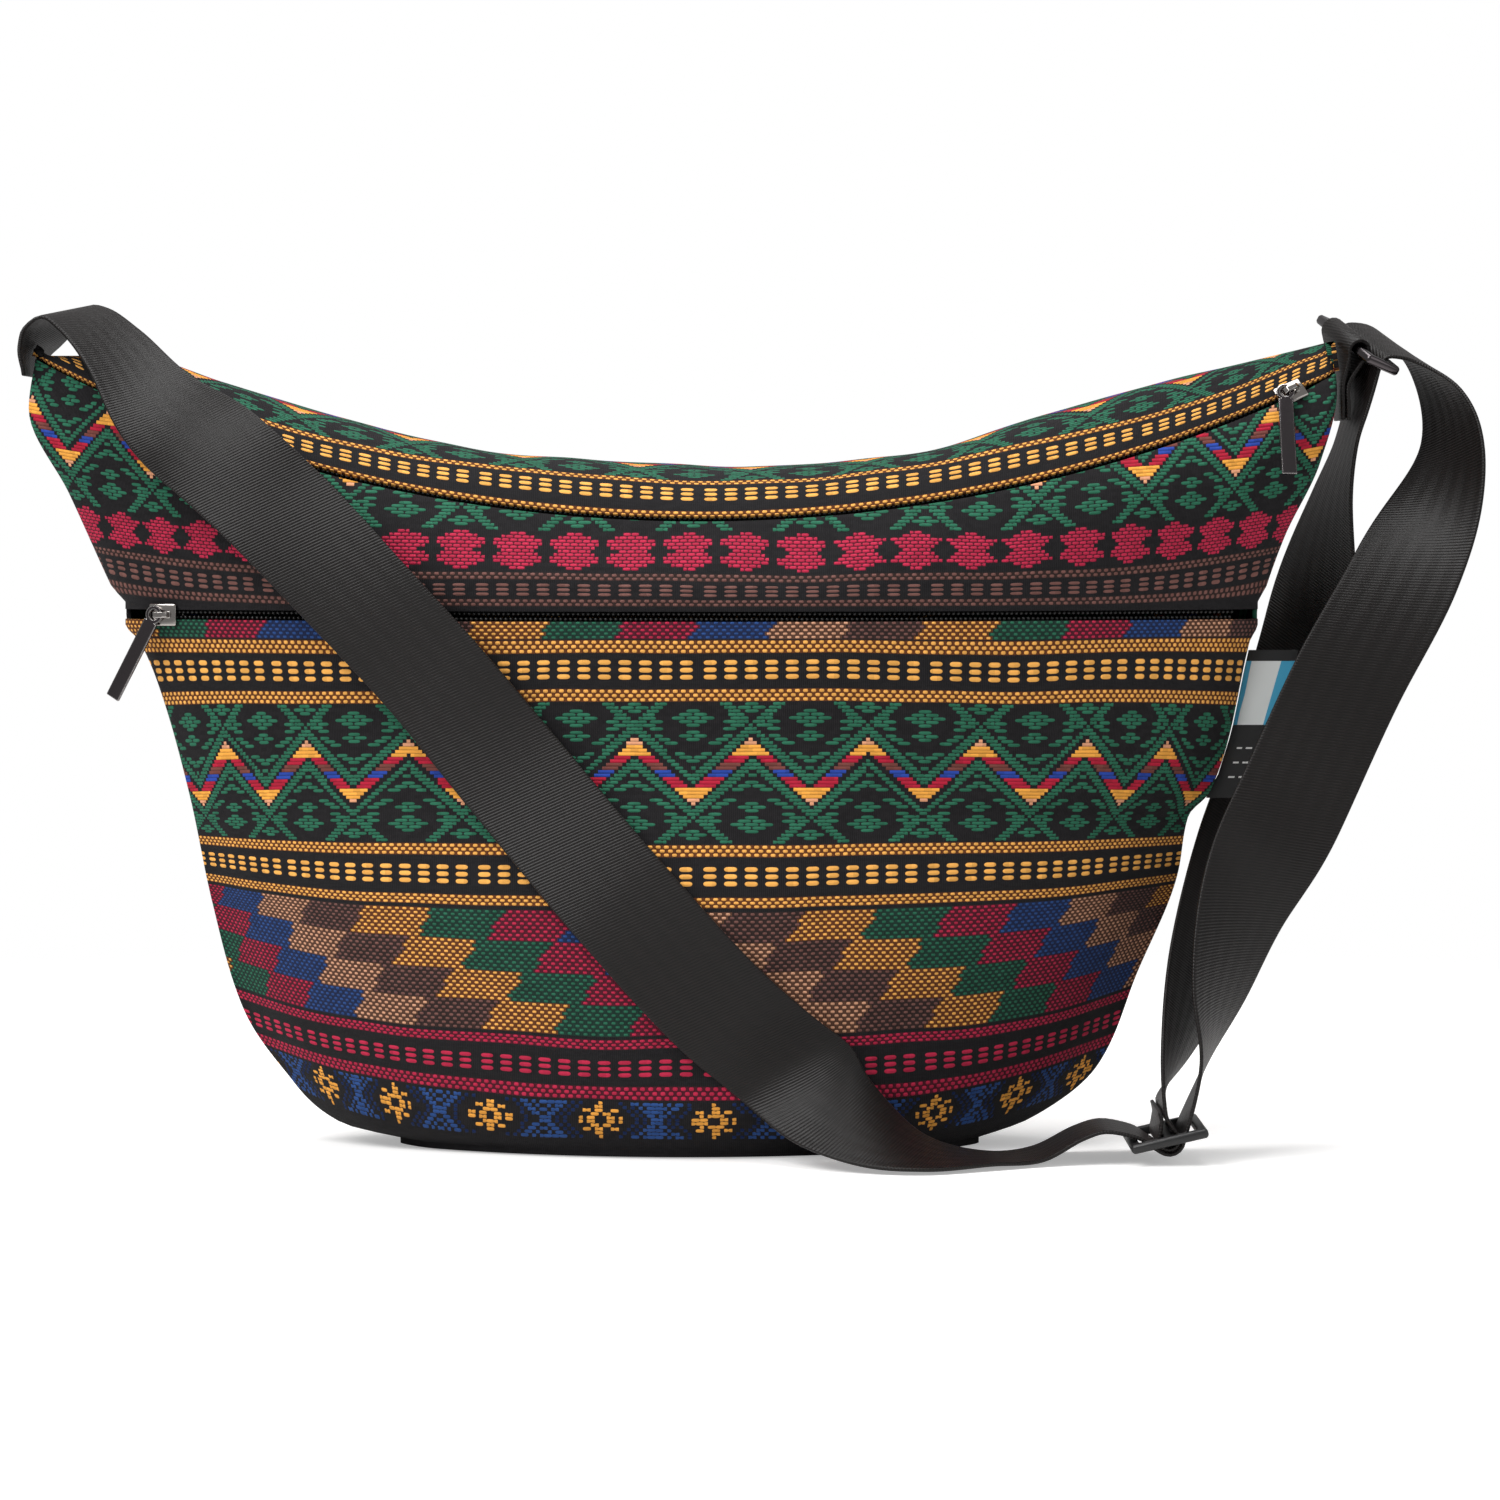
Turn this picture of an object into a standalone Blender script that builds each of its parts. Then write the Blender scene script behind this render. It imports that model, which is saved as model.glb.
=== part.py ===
"""Woven crossbody hobo bag: brocade cloth body, zip pocket, zip top and an adjustable webbing strap.

Metres, +Z up, +X to the wearer's strap ring, -Y out of the bag's front. The origin lies on the
underside of the base panel, so the bag stands on z = 0 with its side seams in the plane y = 0.
"""

import math

import bmesh
import bpy
import numpy as np
from mathutils import Matrix, Vector

# Cloth, webbing and clearances
CLOTH = 0.0016              # brocade with its lining glued on
LINING = 0.0009
LINING_INSET = 0.0095       # from the front's outer face to the lining
WEBBING_WIDTH = 0.038
WEBBING = 0.0013            # thickness of the strap webbing
GAP = 0.0003                # what two touching pieces keep between them

# Side seams seen from the front, as (height, x)
LEFT_SEAM = [(0.0, -0.112), (0.007, -0.1423), (0.025, -0.1617), (0.0462, -0.1757),
             (0.0831, -0.1863), (0.1203, -0.1940), (0.1612, -0.2056), (0.1931, -0.2210),
             (0.2239, -0.2342), (0.2534, -0.2478), (0.2720, -0.2460)]
RIGHT_SEAM = [(0.0, 0.072), (0.0082, 0.0956), (0.0270, 0.1193), (0.0588, 0.1327),
              (0.0932, 0.1466), (0.1130, 0.1502), (0.1210, 0.1574), (0.1772, 0.1722),
              (0.2090, 0.1826), (0.2342, 0.1942), (0.2607, 0.2005), (0.2760, 0.1985)]
# Top edge of the back panel, as (x, height)
RIDGE = [(-0.246, 0.2712), (-0.2155, 0.2712), (-0.1826, 0.2619), (-0.1166, 0.2442),
         (-0.0666, 0.2362), (-0.0006, 0.2337), (0.0509, 0.2375), (0.1050, 0.2524),
         (0.1543, 0.2648), (0.1985, 0.2760)]

POCKET_ZIP_HEIGHT = 0.1825

# Depth of the stuffed body, as (height, depth at the side seam, further depth at the middle)
FRONT_DEPTH = [(0.0, 0.022, 0.023), (0.020, 0.020, 0.038), (0.080, 0.016, 0.050),
               (POCKET_ZIP_HEIGHT - 0.0425, 0.0128, 0.0412), (POCKET_ZIP_HEIGHT, 0.012, 0.040)]
BACK_DEPTH = [(0.0, 0.022, 0.023), (0.020, 0.020, 0.036), (0.080, 0.018, 0.046),
              (POCKET_ZIP_HEIGHT, 0.016, 0.038), (0.2760, 0.016, 0.012)]
SEAM_TURN = 0.0025          # flat stretch of cloth beside the side seam
CORNER_SHARE_BASE = 0.86    # where the rounding towards the seam starts, as a share of half the width
CORNER_SHARE_ZIP = 0.955
CORNER_SHARE_TIP = 0.985
RIDGE_DEPTH = 0.006         # y of the ridge
RIDGE_ROUND = 0.055         # height over which the back rounds into the ridge

# Pocket zip: a level line on the front, curved about an upright axis
POCKET_ZIP_BAND = 0.0045    # half the strip of cloth that keeps the zip's own curve
POCKET_PANEL_FOOT = 0.002   # upright strip of cloth at the base seam

# Main zip: a curve in a plane that leans back
MAIN_ZIP_MIDDLE = (-0.018, -0.036, 0.2153)
MAIN_ZIP_LEAN = math.radians(32.0)
MAIN_ZIP_HALF_CHORD = 0.200
MAIN_ZIP_RISE = 0.0490      # in its own plane, over that half chord
MAIN_ZIP_BAND = 0.0025      # strip of cloth beside the chain that lies in that plane
MAIN_ZIP_LEFT = -0.2160     # where the chain ends at the left tip
MAIN_ZIP_RIGHT = 0.1900

# Zip chain and sliders
SLOT_HALF = 0.0024          # half the opening between the two cloth edges
SLIT_HALF = 0.0005          # half the line between the two rows of the coil
COIL_HALF = 0.0019
COIL_FRONT = 0.0007         # the coil's crown, below the cloth's face
COIL_BACK = 0.0024
TAPE = 0.0005
TAPE_FRONT = COIL_BACK + GAP
TAPE_WIDTH = 0.0075
TAPE_FLAT = 0.0042          # the tape is flat this far out, under the slider
TAPE_SINK = 0.0012          # and then leans into the bag by this much
SLIDER_LENGTH = 0.0105
SLIDER_WIDTH = 0.0078
SLIDER_PLATE = 0.0014
SLIDER_LIFT = 0.0004        # from the cloth to the outer plate
SLIDER_WEB = 0.0004
BRIDGE_WIDTH = 0.0020
BRIDGE_WALL = 0.0011
BRIDGE_CLEAR = 0.0021
BRIDGE_SPAN = 0.0047        # between the middles of its two legs
PULL_LENGTH = 0.0330
PULL_WIDTH = 0.0052
PULL_THICK = 0.0012
EYE_HOLE = 0.0019
EYE_RIM = 0.0031

# Strap hardware
RING_BAR = 0.0034
RING_PITCH = 0.0100         # between the middles of its two long bars
RING_CENTRE_UPPER = Vector((0.2045, 0.0060, 0.2768))
RING_LONG = Vector((0.28, -0.90, -0.33)).normalized()
RING_DROP = Vector((0.90, 0.0, -0.45))
ADJUSTER_CENTRE = Vector((0.1390, -0.0480, 0.0082))
ADJUSTER_LEAN = math.radians(13.0)
ADJUSTER_BAR = 0.0032
ADJUSTER_PITCH = 0.0115     # from the middle bar to each outer bar
BUCKLE_OPENING = WEBBING_WIDTH + 0.0020
BUCKLE_SIDE = 0.0036
ANCHOR_WIDTH = 0.025

# Side label
LABEL_TOP = POCKET_ZIP_HEIGHT - 0.0125
LABEL_HEIGHT = 0.0510
LABEL_REACH = 0.0165
LABEL_SHEET = 0.0004

# Mesh steps
COLUMNS = 22
CORNER_STEPS = (0.38, 0.72, 0.93, 1.0)
BACK_ROWS = (0.04, 0.16, 0.38, 0.68, 1.0)
PANEL_SHARES = (0.033, 0.071, 0.132, 0.241, 0.384, 0.526, 0.603, 0.641, 0.679, 0.800, 0.9205)
PANEL_ROWS = (POCKET_PANEL_FOOT, *(POCKET_ZIP_HEIGHT * share for share in PANEL_SHARES))
LINING_ROWS = (0.033, 0.132, 0.329, 0.603, 0.822, 0.9425)
STRAP_STEP = 0.007


def curve_through(points, column=1):
    """A smooth curve without overshoot through (x, y) points, as a function of x."""
    x = np.array([p[0] for p in points], float)
    y = np.array([p[column] for p in points], float)
    step = np.diff(x)
    rise = np.diff(y) / step
    slope = np.zeros(len(x))
    slope[0], slope[-1] = rise[0], rise[-1]
    for i in range(1, len(x) - 1):
        if rise[i - 1] * rise[i] > 0:
            first, second = 2 * step[i] + step[i - 1], step[i] + 2 * step[i - 1]
            slope[i] = (first + second) / (first / rise[i - 1] + second / rise[i])

    def value(at):
        at = min(max(at, x[0]), x[-1])
        i = min(int(np.searchsorted(x, at, side="right")) - 1, len(step) - 1)
        t = (at - x[i]) / step[i]
        return float((1 + 2 * t) * (1 - t) ** 2 * y[i] + t * (1 - t) ** 2 * step[i] * slope[i]
                     + t * t * (3 - 2 * t) * y[i + 1] + t * t * (t - 1) * step[i] * slope[i + 1])

    return value


def level(z):
    """Heights beside the pocket zip take the zip's own height, so that the cloth there keeps its curve."""
    away = abs(z - POCKET_ZIP_HEIGHT)
    if away > 2 * POCKET_ZIP_BAND:
        return z
    return POCKET_ZIP_HEIGHT + math.copysign(max(0.0, away - POCKET_ZIP_BAND) * 2, z - POCKET_ZIP_HEIGHT)


left_curve = curve_through(LEFT_SEAM)
right_curve = curve_through(RIGHT_SEAM)
ridge_height = curve_through(RIDGE)
front_edge_depth = curve_through(FRONT_DEPTH, 1)
front_bulge = curve_through(FRONT_DEPTH, 2)
back_edge_depth = curve_through(BACK_DEPTH, 1)
back_bulge = curve_through(BACK_DEPTH, 2)


def left_seam(z):
    return left_curve(level(z))


def right_seam(z):
    return right_curve(level(z))


def across(u, z):
    """x at a share u of half the body's width, from -1 at the left seam to 1 at the right one."""
    left, right = left_seam(z), right_seam(z)
    return (left + right) / 2 + (right - left) / 2 * u


def half_width(z):
    return (right_seam(z) - left_seam(z)) / 2


def corner_share(z):
    t = min(z / POCKET_ZIP_HEIGHT, 1.0)
    return CORNER_SHARE_BASE + (CORNER_SHARE_ZIP - CORNER_SHARE_BASE) * t


def rounding(u, start):
    """Falls from 1 to 0 over the rounded corner beside the seam, which starts at that share."""
    t = max(0.0, (abs(u) - start) / (1 - start))
    return math.sqrt(max(0.0, 1 - t * t))


def arc_height(u, z, bulge):
    """A circular arc over the width inside the two rounded corners, of that rise."""
    chord = corner_share(z) * half_width(z)
    radius = (chord * chord + bulge * bulge) / (2 * bulge)
    return math.sqrt(radius * radius - (u * half_width(z)) ** 2) - (radius - bulge)


def front_depth(u, z):
    """How far the front of the body stands out of the plane of the side seams."""
    z = min(level(z), POCKET_ZIP_HEIGHT)
    full = front_edge_depth(z) + arc_height(u, z, front_bulge(z))
    return SEAM_TURN + (full - SEAM_TURN) * rounding(u, corner_share(z))


def back_depth(u, z):
    full = back_edge_depth(z) + arc_height(u, z, back_bulge(z))
    return SEAM_TURN + (full - SEAM_TURN) * rounding(u, corner_share(z))


class ZipLine:
    """A zip's circular run: a point on the cloth's face, offsets along the cloth and into the bag."""

    def __init__(self, middle, half_chord, rise, along, inward, up_is_centre):
        self.radius = (half_chord ** 2 + rise ** 2) / (2 * rise)
        self.middle = Vector(middle)
        self.along = Vector(along)
        self.inward = Vector(inward)
        self.up = self.along.cross(self.inward)
        self.in_plane = up_is_centre
        towards = self.up if up_is_centre else self.inward
        self.centre = self.middle + towards * self.radius
        self.axis = self.inward if up_is_centre else self.up

    def angle_at(self, x, up=0.0):
        radius = self.radius - up if self.in_plane else self.radius
        return math.asin((x - self.middle.x) / radius)

    def frame(self, angle):
        """Tangent, inward and up directions at an angle along the run."""
        if self.in_plane:
            turned = Matrix.Rotation(-angle, 3, self.axis)
        else:
            turned = Matrix.Rotation(angle, 3, self.axis)
        return turned @ self.along, turned @ self.inward, turned @ self.up

    def point(self, angle, up=0.0, inward=0.0):
        _, into, above = self.frame(angle)
        towards = above if self.in_plane else into
        return self.centre - towards * self.radius + above * up + into * inward


def pocket_zip_line():
    z = POCKET_ZIP_HEIGHT
    chord = corner_share(z) * half_width(z)
    middle = (across(0, z), -front_depth(0, z), z)
    return ZipLine(middle, chord, front_bulge(z), (1, 0, 0), (0, 1, 0), False)


def main_zip_line():
    lean = (0, math.cos(MAIN_ZIP_LEAN), -math.sin(MAIN_ZIP_LEAN))
    return ZipLine(MAIN_ZIP_MIDDLE, MAIN_ZIP_HALF_CHORD, MAIN_ZIP_RISE, (1, 0, 0), lean, True)


POCKET_ZIP = pocket_zip_line()
MAIN_ZIP = main_zip_line()


def slot_half(x):
    """Half the opening along the main zip. It closes beyond the chain's two ends."""
    past = max(MAIN_ZIP_LEFT - x, x - MAIN_ZIP_RIGHT, 0.0)
    return max(SLOT_HALF - past * 0.2, SLOT_HALF / 2)


def main_edge(u, side, away=0.0):
    """A place beside the main zip in column u: side -1 is the front panel, 1 the back."""
    z = MAIN_ZIP_MIDDLE[2]
    for _ in range(40):
        x = across(u, z)
        up = side * (slot_half(x) + away)
        edge = MAIN_ZIP.point(MAIN_ZIP.angle_at(x, up), up=up)
        z += (edge.z - z) * 0.7
    turn = side * SEAM_TURN
    return Vector((across(u, edge.z), turn + (edge.y - turn) * rounding(u, CORNER_SHARE_TIP), edge.z))


def ridge_point(u):
    z = 0.25
    for _ in range(40):
        z += (ridge_height(across(u, z)) - z) * 0.7
    depth = SEAM_TURN + (RIDGE_DEPTH - SEAM_TURN) * rounding(u, CORNER_SHARE_TIP)
    return Vector((across(u, z), depth, z))


def columns():
    """Column shares from seam to seam, closer together in the rounded corners."""
    start = CORNER_SHARE_ZIP
    inner = [start * (2 * i / COLUMNS - 1) for i in range(COLUMNS + 1)]
    corner = [start + (1 - start) * t for t in CORNER_STEPS]
    return [-c for c in reversed(corner)] + inner + corner


def material(name, color, roughness, metallic=0.0):
    mat = bpy.data.materials.get(name) or bpy.data.materials.new(name)
    mat.use_nodes = True
    shader = mat.node_tree.nodes["Principled BSDF"]
    shader.inputs["Base Color"].default_value = (*color, 1.0)
    shader.inputs["Roughness"].default_value = roughness
    shader.inputs["Metallic"].default_value = metallic
    return mat


def brocade():
    return material("brocade", (0.045, 0.10, 0.07), 0.85)


def black_cloth():
    return material("black_cloth", (0.016, 0.015, 0.016), 0.9)


def zip_black():
    return material("zip_black", (0.012, 0.012, 0.013), 0.55)


def webbing():
    return material("belt_webbing", (0.022, 0.020, 0.020), 0.5)


def gunmetal():
    return material("gunmetal", (0.05, 0.05, 0.055), 0.25, 1.0)


def label_cloth():
    return material("label_cloth", (0.45, 0.60, 0.66), 0.7)


def finish(obj, mat, smooth=40.0):
    obj.data.materials.clear()
    obj.data.materials.append(mat)
    if smooth:
        obj.data.shade_smooth()
        obj.data.set_sharp_from_angle(angle=math.radians(smooth))
    return obj


def new_object(name, bm, collection):
    mesh = bpy.data.meshes.new(name)
    bm.to_mesh(mesh)
    bm.free()
    obj = bpy.data.objects.new(name, mesh)
    collection.objects.link(obj)
    return obj


def grid(rows):
    """An open surface from rows of points, facing so that columns x rows points outwards."""
    bm = bmesh.new()
    made = [[bm.verts.new(p) for p in row] for row in rows]
    for low, high in zip(made, made[1:]):
        for i in range(len(low) - 1):
            bm.faces.new((low[i], low[i + 1], high[i + 1], high[i]))
    return bm


def thicken(obj, thickness, offset=-1.0, even=True):
    solid = obj.modifiers.new("thickness", "SOLIDIFY")
    solid.thickness = thickness
    solid.offset = offset
    solid.use_even_offset = even
    return obj


def cloth_panel(name, rows, side, collection):
    """A panel of the body's cloth, its outer face given by rows of points from seam to seam."""
    rows = [with_seam_turn(row, side) for row in rows]
    panel = new_object(name, grid(rows), collection)
    return finish(thicken(panel, CLOTH, even=False), brocade())


def evaluated(obj):
    """A plain copy of an object's evaluated mesh, in the place of the object."""
    bpy.context.view_layer.update()
    source = obj.evaluated_get(bpy.context.evaluated_depsgraph_get())
    mesh = bpy.data.meshes.new_from_object(source)
    obj.modifiers.clear()
    obj.data = mesh
    return obj


def unite(obj, *others):
    """Joins closed solids into one body and removes the originals."""
    for other in others:
        join = obj.modifiers.new("join", "BOOLEAN")
        join.operation = "UNION"
        join.solver = "EXACT"
        join.object = other
    evaluated(obj)
    for other in others:
        bpy.data.objects.remove(other)
    return obj


def box_object(name, low, high, collection, bevel=0.0, segments=1):
    bm = bmesh.new()
    bmesh.ops.create_cube(bm, size=1.0)
    low, high = Vector(low), Vector(high)
    size, middle = high - low, (low + high) / 2
    bmesh.ops.scale(bm, vec=size, verts=bm.verts)
    bmesh.ops.translate(bm, vec=middle, verts=bm.verts)
    obj = new_object(name, bm, collection)
    if bevel:
        edge = obj.modifiers.new("edges", "BEVEL")
        edge.width = bevel
        edge.segments = segments
    return obj


def pocket_panel(collection):
    """Lower front of the bag, from the base seam to the pocket zip."""
    top = POCKET_ZIP_HEIGHT - SLOT_HALF
    rows = []
    for z in (0.0, *PANEL_ROWS, top - 0.002, top):
        seam = max(z, POCKET_PANEL_FOOT)
        rows.append([Vector((across(u, seam), -front_depth(u, seam), z)) for u in columns()])
    return cloth_panel("pocket_panel", rows, -1, collection)


def with_seam_turn(row, side):
    """Carries a row of cloth straight on to its two side seams, which lie in the plane y = 0."""
    stop = side * GAP / 2
    first, last = row[0].copy(), row[-1].copy()
    first.y, last.y = stop, stop
    return [first] + row + [last]


def leaning_rise(low, top, share):
    """Height and y between an upright start and a finish that leans back as the main zip does."""
    rise = top.z - low.z
    lean = rise * math.tan(MAIN_ZIP_LEAN)
    t = share
    y = low.y * (1 + 2 * t) * (1 - t) ** 2 + top.y * t * t * (3 - 2 * t) + lean * t * t * (t - 1)
    return y, low.z + rise * share


def front_upper_panel(collection):
    """Front of the bag between the two zips."""
    base = POCKET_ZIP_HEIGHT + SLOT_HALF
    shares = columns()
    lows = [Vector((0, -front_depth(u, base), base + MAIN_ZIP_BAND)) for u in shares]
    highs = [main_edge(u, -1, MAIN_ZIP_BAND) for u in shares]
    rows = [[Vector((across(u, base), -front_depth(u, base), base)) for u in shares]]
    for share in (0.0, 0.25, 0.5, 0.75, 1.0):
        row = []
        for u, low, high in zip(shares, lows, highs):
            y, z = leaning_rise(low, high, share)
            row.append(Vector((across(u, z), y, z)))
        rows.append(row)
    rows.append([main_edge(u, -1) for u in shares])
    return cloth_panel("front_upper_panel", rows, -1, collection)


def over_the_ridge(edge, ridge, share):
    """y and height from the zip's edge of the back panel to the ridge, where it runs level."""
    bend = min(edge.y + (ridge.z - edge.z) * math.tan(MAIN_ZIP_LEAN), ridge.y)
    y = edge.y * (1 - share) ** 2 + bend * 2 * share * (1 - share) + ridge.y * share ** 2
    z = edge.z * (1 - share) ** 2 + ridge.z * (2 * share * (1 - share) + share ** 2)
    return y, z


def back_point(u, z, ridge):
    """A place on the back, which rounds over into the ridge above."""
    seam = max(z, POCKET_PANEL_FOOT)
    closing = min((ridge.z - z) / RIDGE_ROUND, 1.0)
    full = back_depth(u, seam)
    return Vector((across(u, seam), ridge.y + (full - ridge.y) * math.sqrt(1 - (1 - closing) ** 2), z))


def back_panel(collection):
    """One piece of cloth from the main zip over the ridge and down the back to the base seam."""
    shares = columns()
    edges = [main_edge(u, 1, MAIN_ZIP_BAND) for u in shares]
    ridges = [ridge_point(u) for u in shares]
    rows = [[main_edge(u, 1) for u in shares]]
    for share in (0.0, 0.35, 0.7, 1.0):
        row = []
        for u, edge, ridge in zip(shares, edges, ridges):
            y, z = over_the_ridge(edge, ridge, share)
            row.append(Vector((across(u, z), y, z)))
        rows.append(row)
    for drop in BACK_ROWS:
        row = []
        for u, ridge in zip(shares, ridges):
            z = ridge.z - (ridge.z - PANEL_ROWS[-1]) * drop
            row.append(back_point(u, z, ridge))
        rows.append(row)
    for z in (*PANEL_ROWS[-2::-1], 0.0):
        rows.append([back_point(u, z, ridge) for u, ridge in zip(shares, ridges)])
    return cloth_panel("back_panel", rows, 1, collection)


def base_outline(inset):
    """The base seam's line, moved inwards."""
    z = POCKET_PANEL_FOOT
    front = [Vector((across(u, z), -front_depth(u, z))) for u in columns()]
    back = [Vector((across(u, z), back_depth(u, z))) for u in reversed(columns())]
    line = front + back
    moved = []
    for i, point in enumerate(line):
        tangent = (line[(i + 1) % len(line)] - line[i - 1]).normalized()
        moved.append(point + Vector((-tangent.y, tangent.x)) * inset)
    return moved


def base_panel(collection):
    """Flat black base that closes the body from below."""
    bm = bmesh.new()
    verts = [bm.verts.new((p.x, p.y, 0.0)) for p in base_outline(CLOTH + GAP)]
    face = bm.faces.new(verts)
    grown = bmesh.ops.extrude_face_region(bm, geom=[face])
    top = [v for v in grown["geom"] if isinstance(v, bmesh.types.BMVert)]
    bmesh.ops.translate(bm, vec=(0, 0, CLOTH), verts=top)
    bmesh.ops.recalc_face_normals(bm, faces=bm.faces)
    return finish(new_object("base_panel", bm, collection), black_cloth())


def zip_strip(name, line, angles, profile, thickness, collection):
    """A strip along a zip, with a profile of (across, inward) places, thickened into the bag."""
    rows = [[line.point(a, up=up, inward=inward) for a in angles] for up, inward in profile]
    return finish(thicken(new_object(name, grid(rows), collection), thickness), zip_black())


def zip_parts(prefix, names, line, start, end, collection):
    """The two tapes and the two rows of the coil of one zip."""
    count = 32
    first, last = line.angle_at(start), line.angle_at(end)
    angles = [first + (last - first) * i / count for i in range(count + 1)]
    for name, side in zip(names, (1, -1)):
        tape = [(side * SLIT_HALF, TAPE_FRONT), (side * TAPE_FLAT, TAPE_FRONT),
                (side * TAPE_WIDTH, TAPE_FRONT + TAPE_SINK)]
        coil = [(side * SLIT_HALF, COIL_FRONT), (side * COIL_HALF, COIL_FRONT)]
        zip_strip(f"{prefix}_tape_{name}", line, angles, tape[::side], TAPE, collection)
        zip_strip(f"{prefix}_coil_{name}", line, angles, coil[::side], COIL_BACK - COIL_FRONT, collection)


def slider_body(name, collection):
    """A slider in its own frame: x along the zip, y into the bag, z across the zip."""
    half_length, half_width_ = SLIDER_LENGTH / 2, SLIDER_WIDTH / 2
    outer = -SLIDER_LIFT
    inner = TAPE_FRONT + TAPE + GAP
    obj = box_object(name, (-half_length, outer - SLIDER_PLATE, -half_width_),
                     (half_length, outer, half_width_), collection, 0.0008, 2)
    evaluated(obj)
    back = box_object(name + "_back", (-half_length, inner, -half_width_),
                      (half_length, inner + SLIDER_PLATE, half_width_), collection)
    web = box_object(name + "_web", (-half_length * 0.5, outer - SLIDER_PLATE / 2, -SLIDER_WEB / 2),
                     (half_length * 0.5, inner + SLIDER_PLATE / 2, SLIDER_WEB / 2), collection)
    return unite(obj, back, web, bridge(name + "_bridge", collection))


def bridge(name, collection):
    """The arch on the slider that holds the pull."""
    foot = -SLIDER_LIFT - SLIDER_PLATE / 2
    crown = -SLIDER_LIFT - SLIDER_PLATE - BRIDGE_CLEAR - BRIDGE_WALL / 2
    reach = BRIDGE_SPAN / 2
    bend = 0.0009
    line = [(-reach, foot), (-reach, crown + bend), (-reach + bend, crown), (reach - bend, crown),
            (reach, crown + bend), (reach, foot)]
    rows = [[Vector((x, y, z)) for x, y in line] for z in (-BRIDGE_WIDTH / 2, BRIDGE_WIDTH / 2)]
    obj = thicken(new_object(name, grid(rows), collection), BRIDGE_WALL, 0.0)
    return evaluated(obj)


def pull_body(name, collection):
    """A flat bar with an eye, in its own frame: eye at the origin, bar along -z."""
    neck = (EYE_HOLE + EYE_RIM) / 2
    bar = box_object(name, (-PULL_WIDTH / 2, -PULL_THICK / 2, -PULL_LENGTH),
                     (PULL_WIDTH / 2, PULL_THICK / 2, -neck), collection, 0.00025)
    evaluated(bar)
    bm = bmesh.new()
    sides = 20
    rings = []
    for radius in (EYE_HOLE, EYE_RIM):
        for y in (-PULL_THICK / 2, PULL_THICK / 2):
            rings.append([bm.verts.new((radius * math.cos(2 * math.pi * i / sides), y,
                                        radius * math.sin(2 * math.pi * i / sides)))
                          for i in range(sides)])
    order = [rings[0], rings[1], rings[3], rings[2]]
    for a, b in zip(order, order[1:] + order[:1]):
        for i in range(sides):
            bm.faces.new((a[i], a[(i + 1) % sides], b[(i + 1) % sides], b[i]))
    bmesh.ops.recalc_face_normals(bm, faces=bm.faces)
    return unite(bar, new_object(name + "_eye", bm, collection))


def place_on_zip(prefix, line, x, pull_angle, collection):
    """Sets a slider and its pull on a zip. Each hangs from an empty on its own joint axis."""
    angle = line.angle_at(x)
    tangent, into, above = line.frame(angle)
    turn = Matrix((tangent, into, above)).transposed()
    seat = line.point(angle)
    run = bpy.data.objects.new(prefix + "_run_axis", None)
    run.location = line.centre
    collection.objects.link(run)
    slider = finish(slider_body(prefix + "_slider", collection), gunmetal())
    slider.data.transform(Matrix.Translation(seat - line.centre) @ turn.to_4x4())
    slider.parent = run
    height = SLIDER_LIFT + SLIDER_PLATE + BRIDGE_CLEAR / 2
    leg = seat - tangent * (BRIDGE_SPAN / 2) - into * height
    swing = bpy.data.objects.new(prefix + "_pull_axis", None)
    swing.location = leg - line.centre
    swing.parent = run
    collection.objects.link(swing)
    pull = finish(pull_body(prefix + "_pull", collection), gunmetal())
    pull.data.transform(turn.to_4x4() @ Matrix.Rotation(pull_angle, 4, "Y"))
    pull.parent = swing


def smooth_route(stations, step):
    """Points and width directions every step or so, on a curve through (point, width direction)."""
    points = [Vector(p) for p, _ in stations]
    widths = [Vector(w).normalized() for _, w in stations]
    points = [points[0] * 2 - points[1]] + points + [points[-1] * 2 - points[-2]]
    widths = [widths[0]] + widths + [widths[-1]]
    knots = [0.0]
    for before, after in zip(points, points[1:]):
        knots.append(knots[-1] + math.sqrt((after - before).length))
    out = []
    for i in range(1, len(points) - 2):
        count = max(1, min(5, round((points[i + 1] - points[i]).length / step)))
        for s in range(count):
            at = knots[i] + (knots[i + 1] - knots[i]) * s / count
            out.append((centripetal(points, knots, i, at), centripetal(widths, knots, i, at)))
    out.append((points[-2], widths[-2]))
    return out


def centripetal(values, knots, i, at):
    """The Catmull-Rom curve between values i and i + 1 at that knot value."""
    v, k = values[i - 1:i + 3], knots[i - 1:i + 3]

    def mix(a, b, first, last):
        return a * ((last - at) / (last - first)) + b * ((at - first) / (last - first))

    a, b, c = (mix(v[n], v[n + 1], k[n], k[n + 1]) for n in range(3))
    return mix(mix(a, b, k[0], k[2]), mix(b, c, k[1], k[3]), k[1], k[2])


def ribbon(name, route, width, thickness, mat, collection):
    """Webbing along a route of (point, width direction)."""
    rows = [[point + side.normalized() * reach for point, side in route]
            for reach in (-width / 2, width / 2)]
    obj = new_object(name, grid(rows), collection)
    facets = obj.modifiers.new("facets", "TRIANGULATE")
    facets.quad_method = "FIXED"
    return finish(thicken(obj, thickness, 0.0, even=False), mat)


def arc(centre, out, round_, radius, start, stop, count):
    """Points on an arc in the plane of two unit directions, angles in degrees from out to round_."""
    angles = [math.radians(start + (stop - start) * i / count) for i in range(count + 1)]
    return [centre + out * (radius * math.cos(a)) + round_ * (radius * math.sin(a)) for a in angles]


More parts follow.
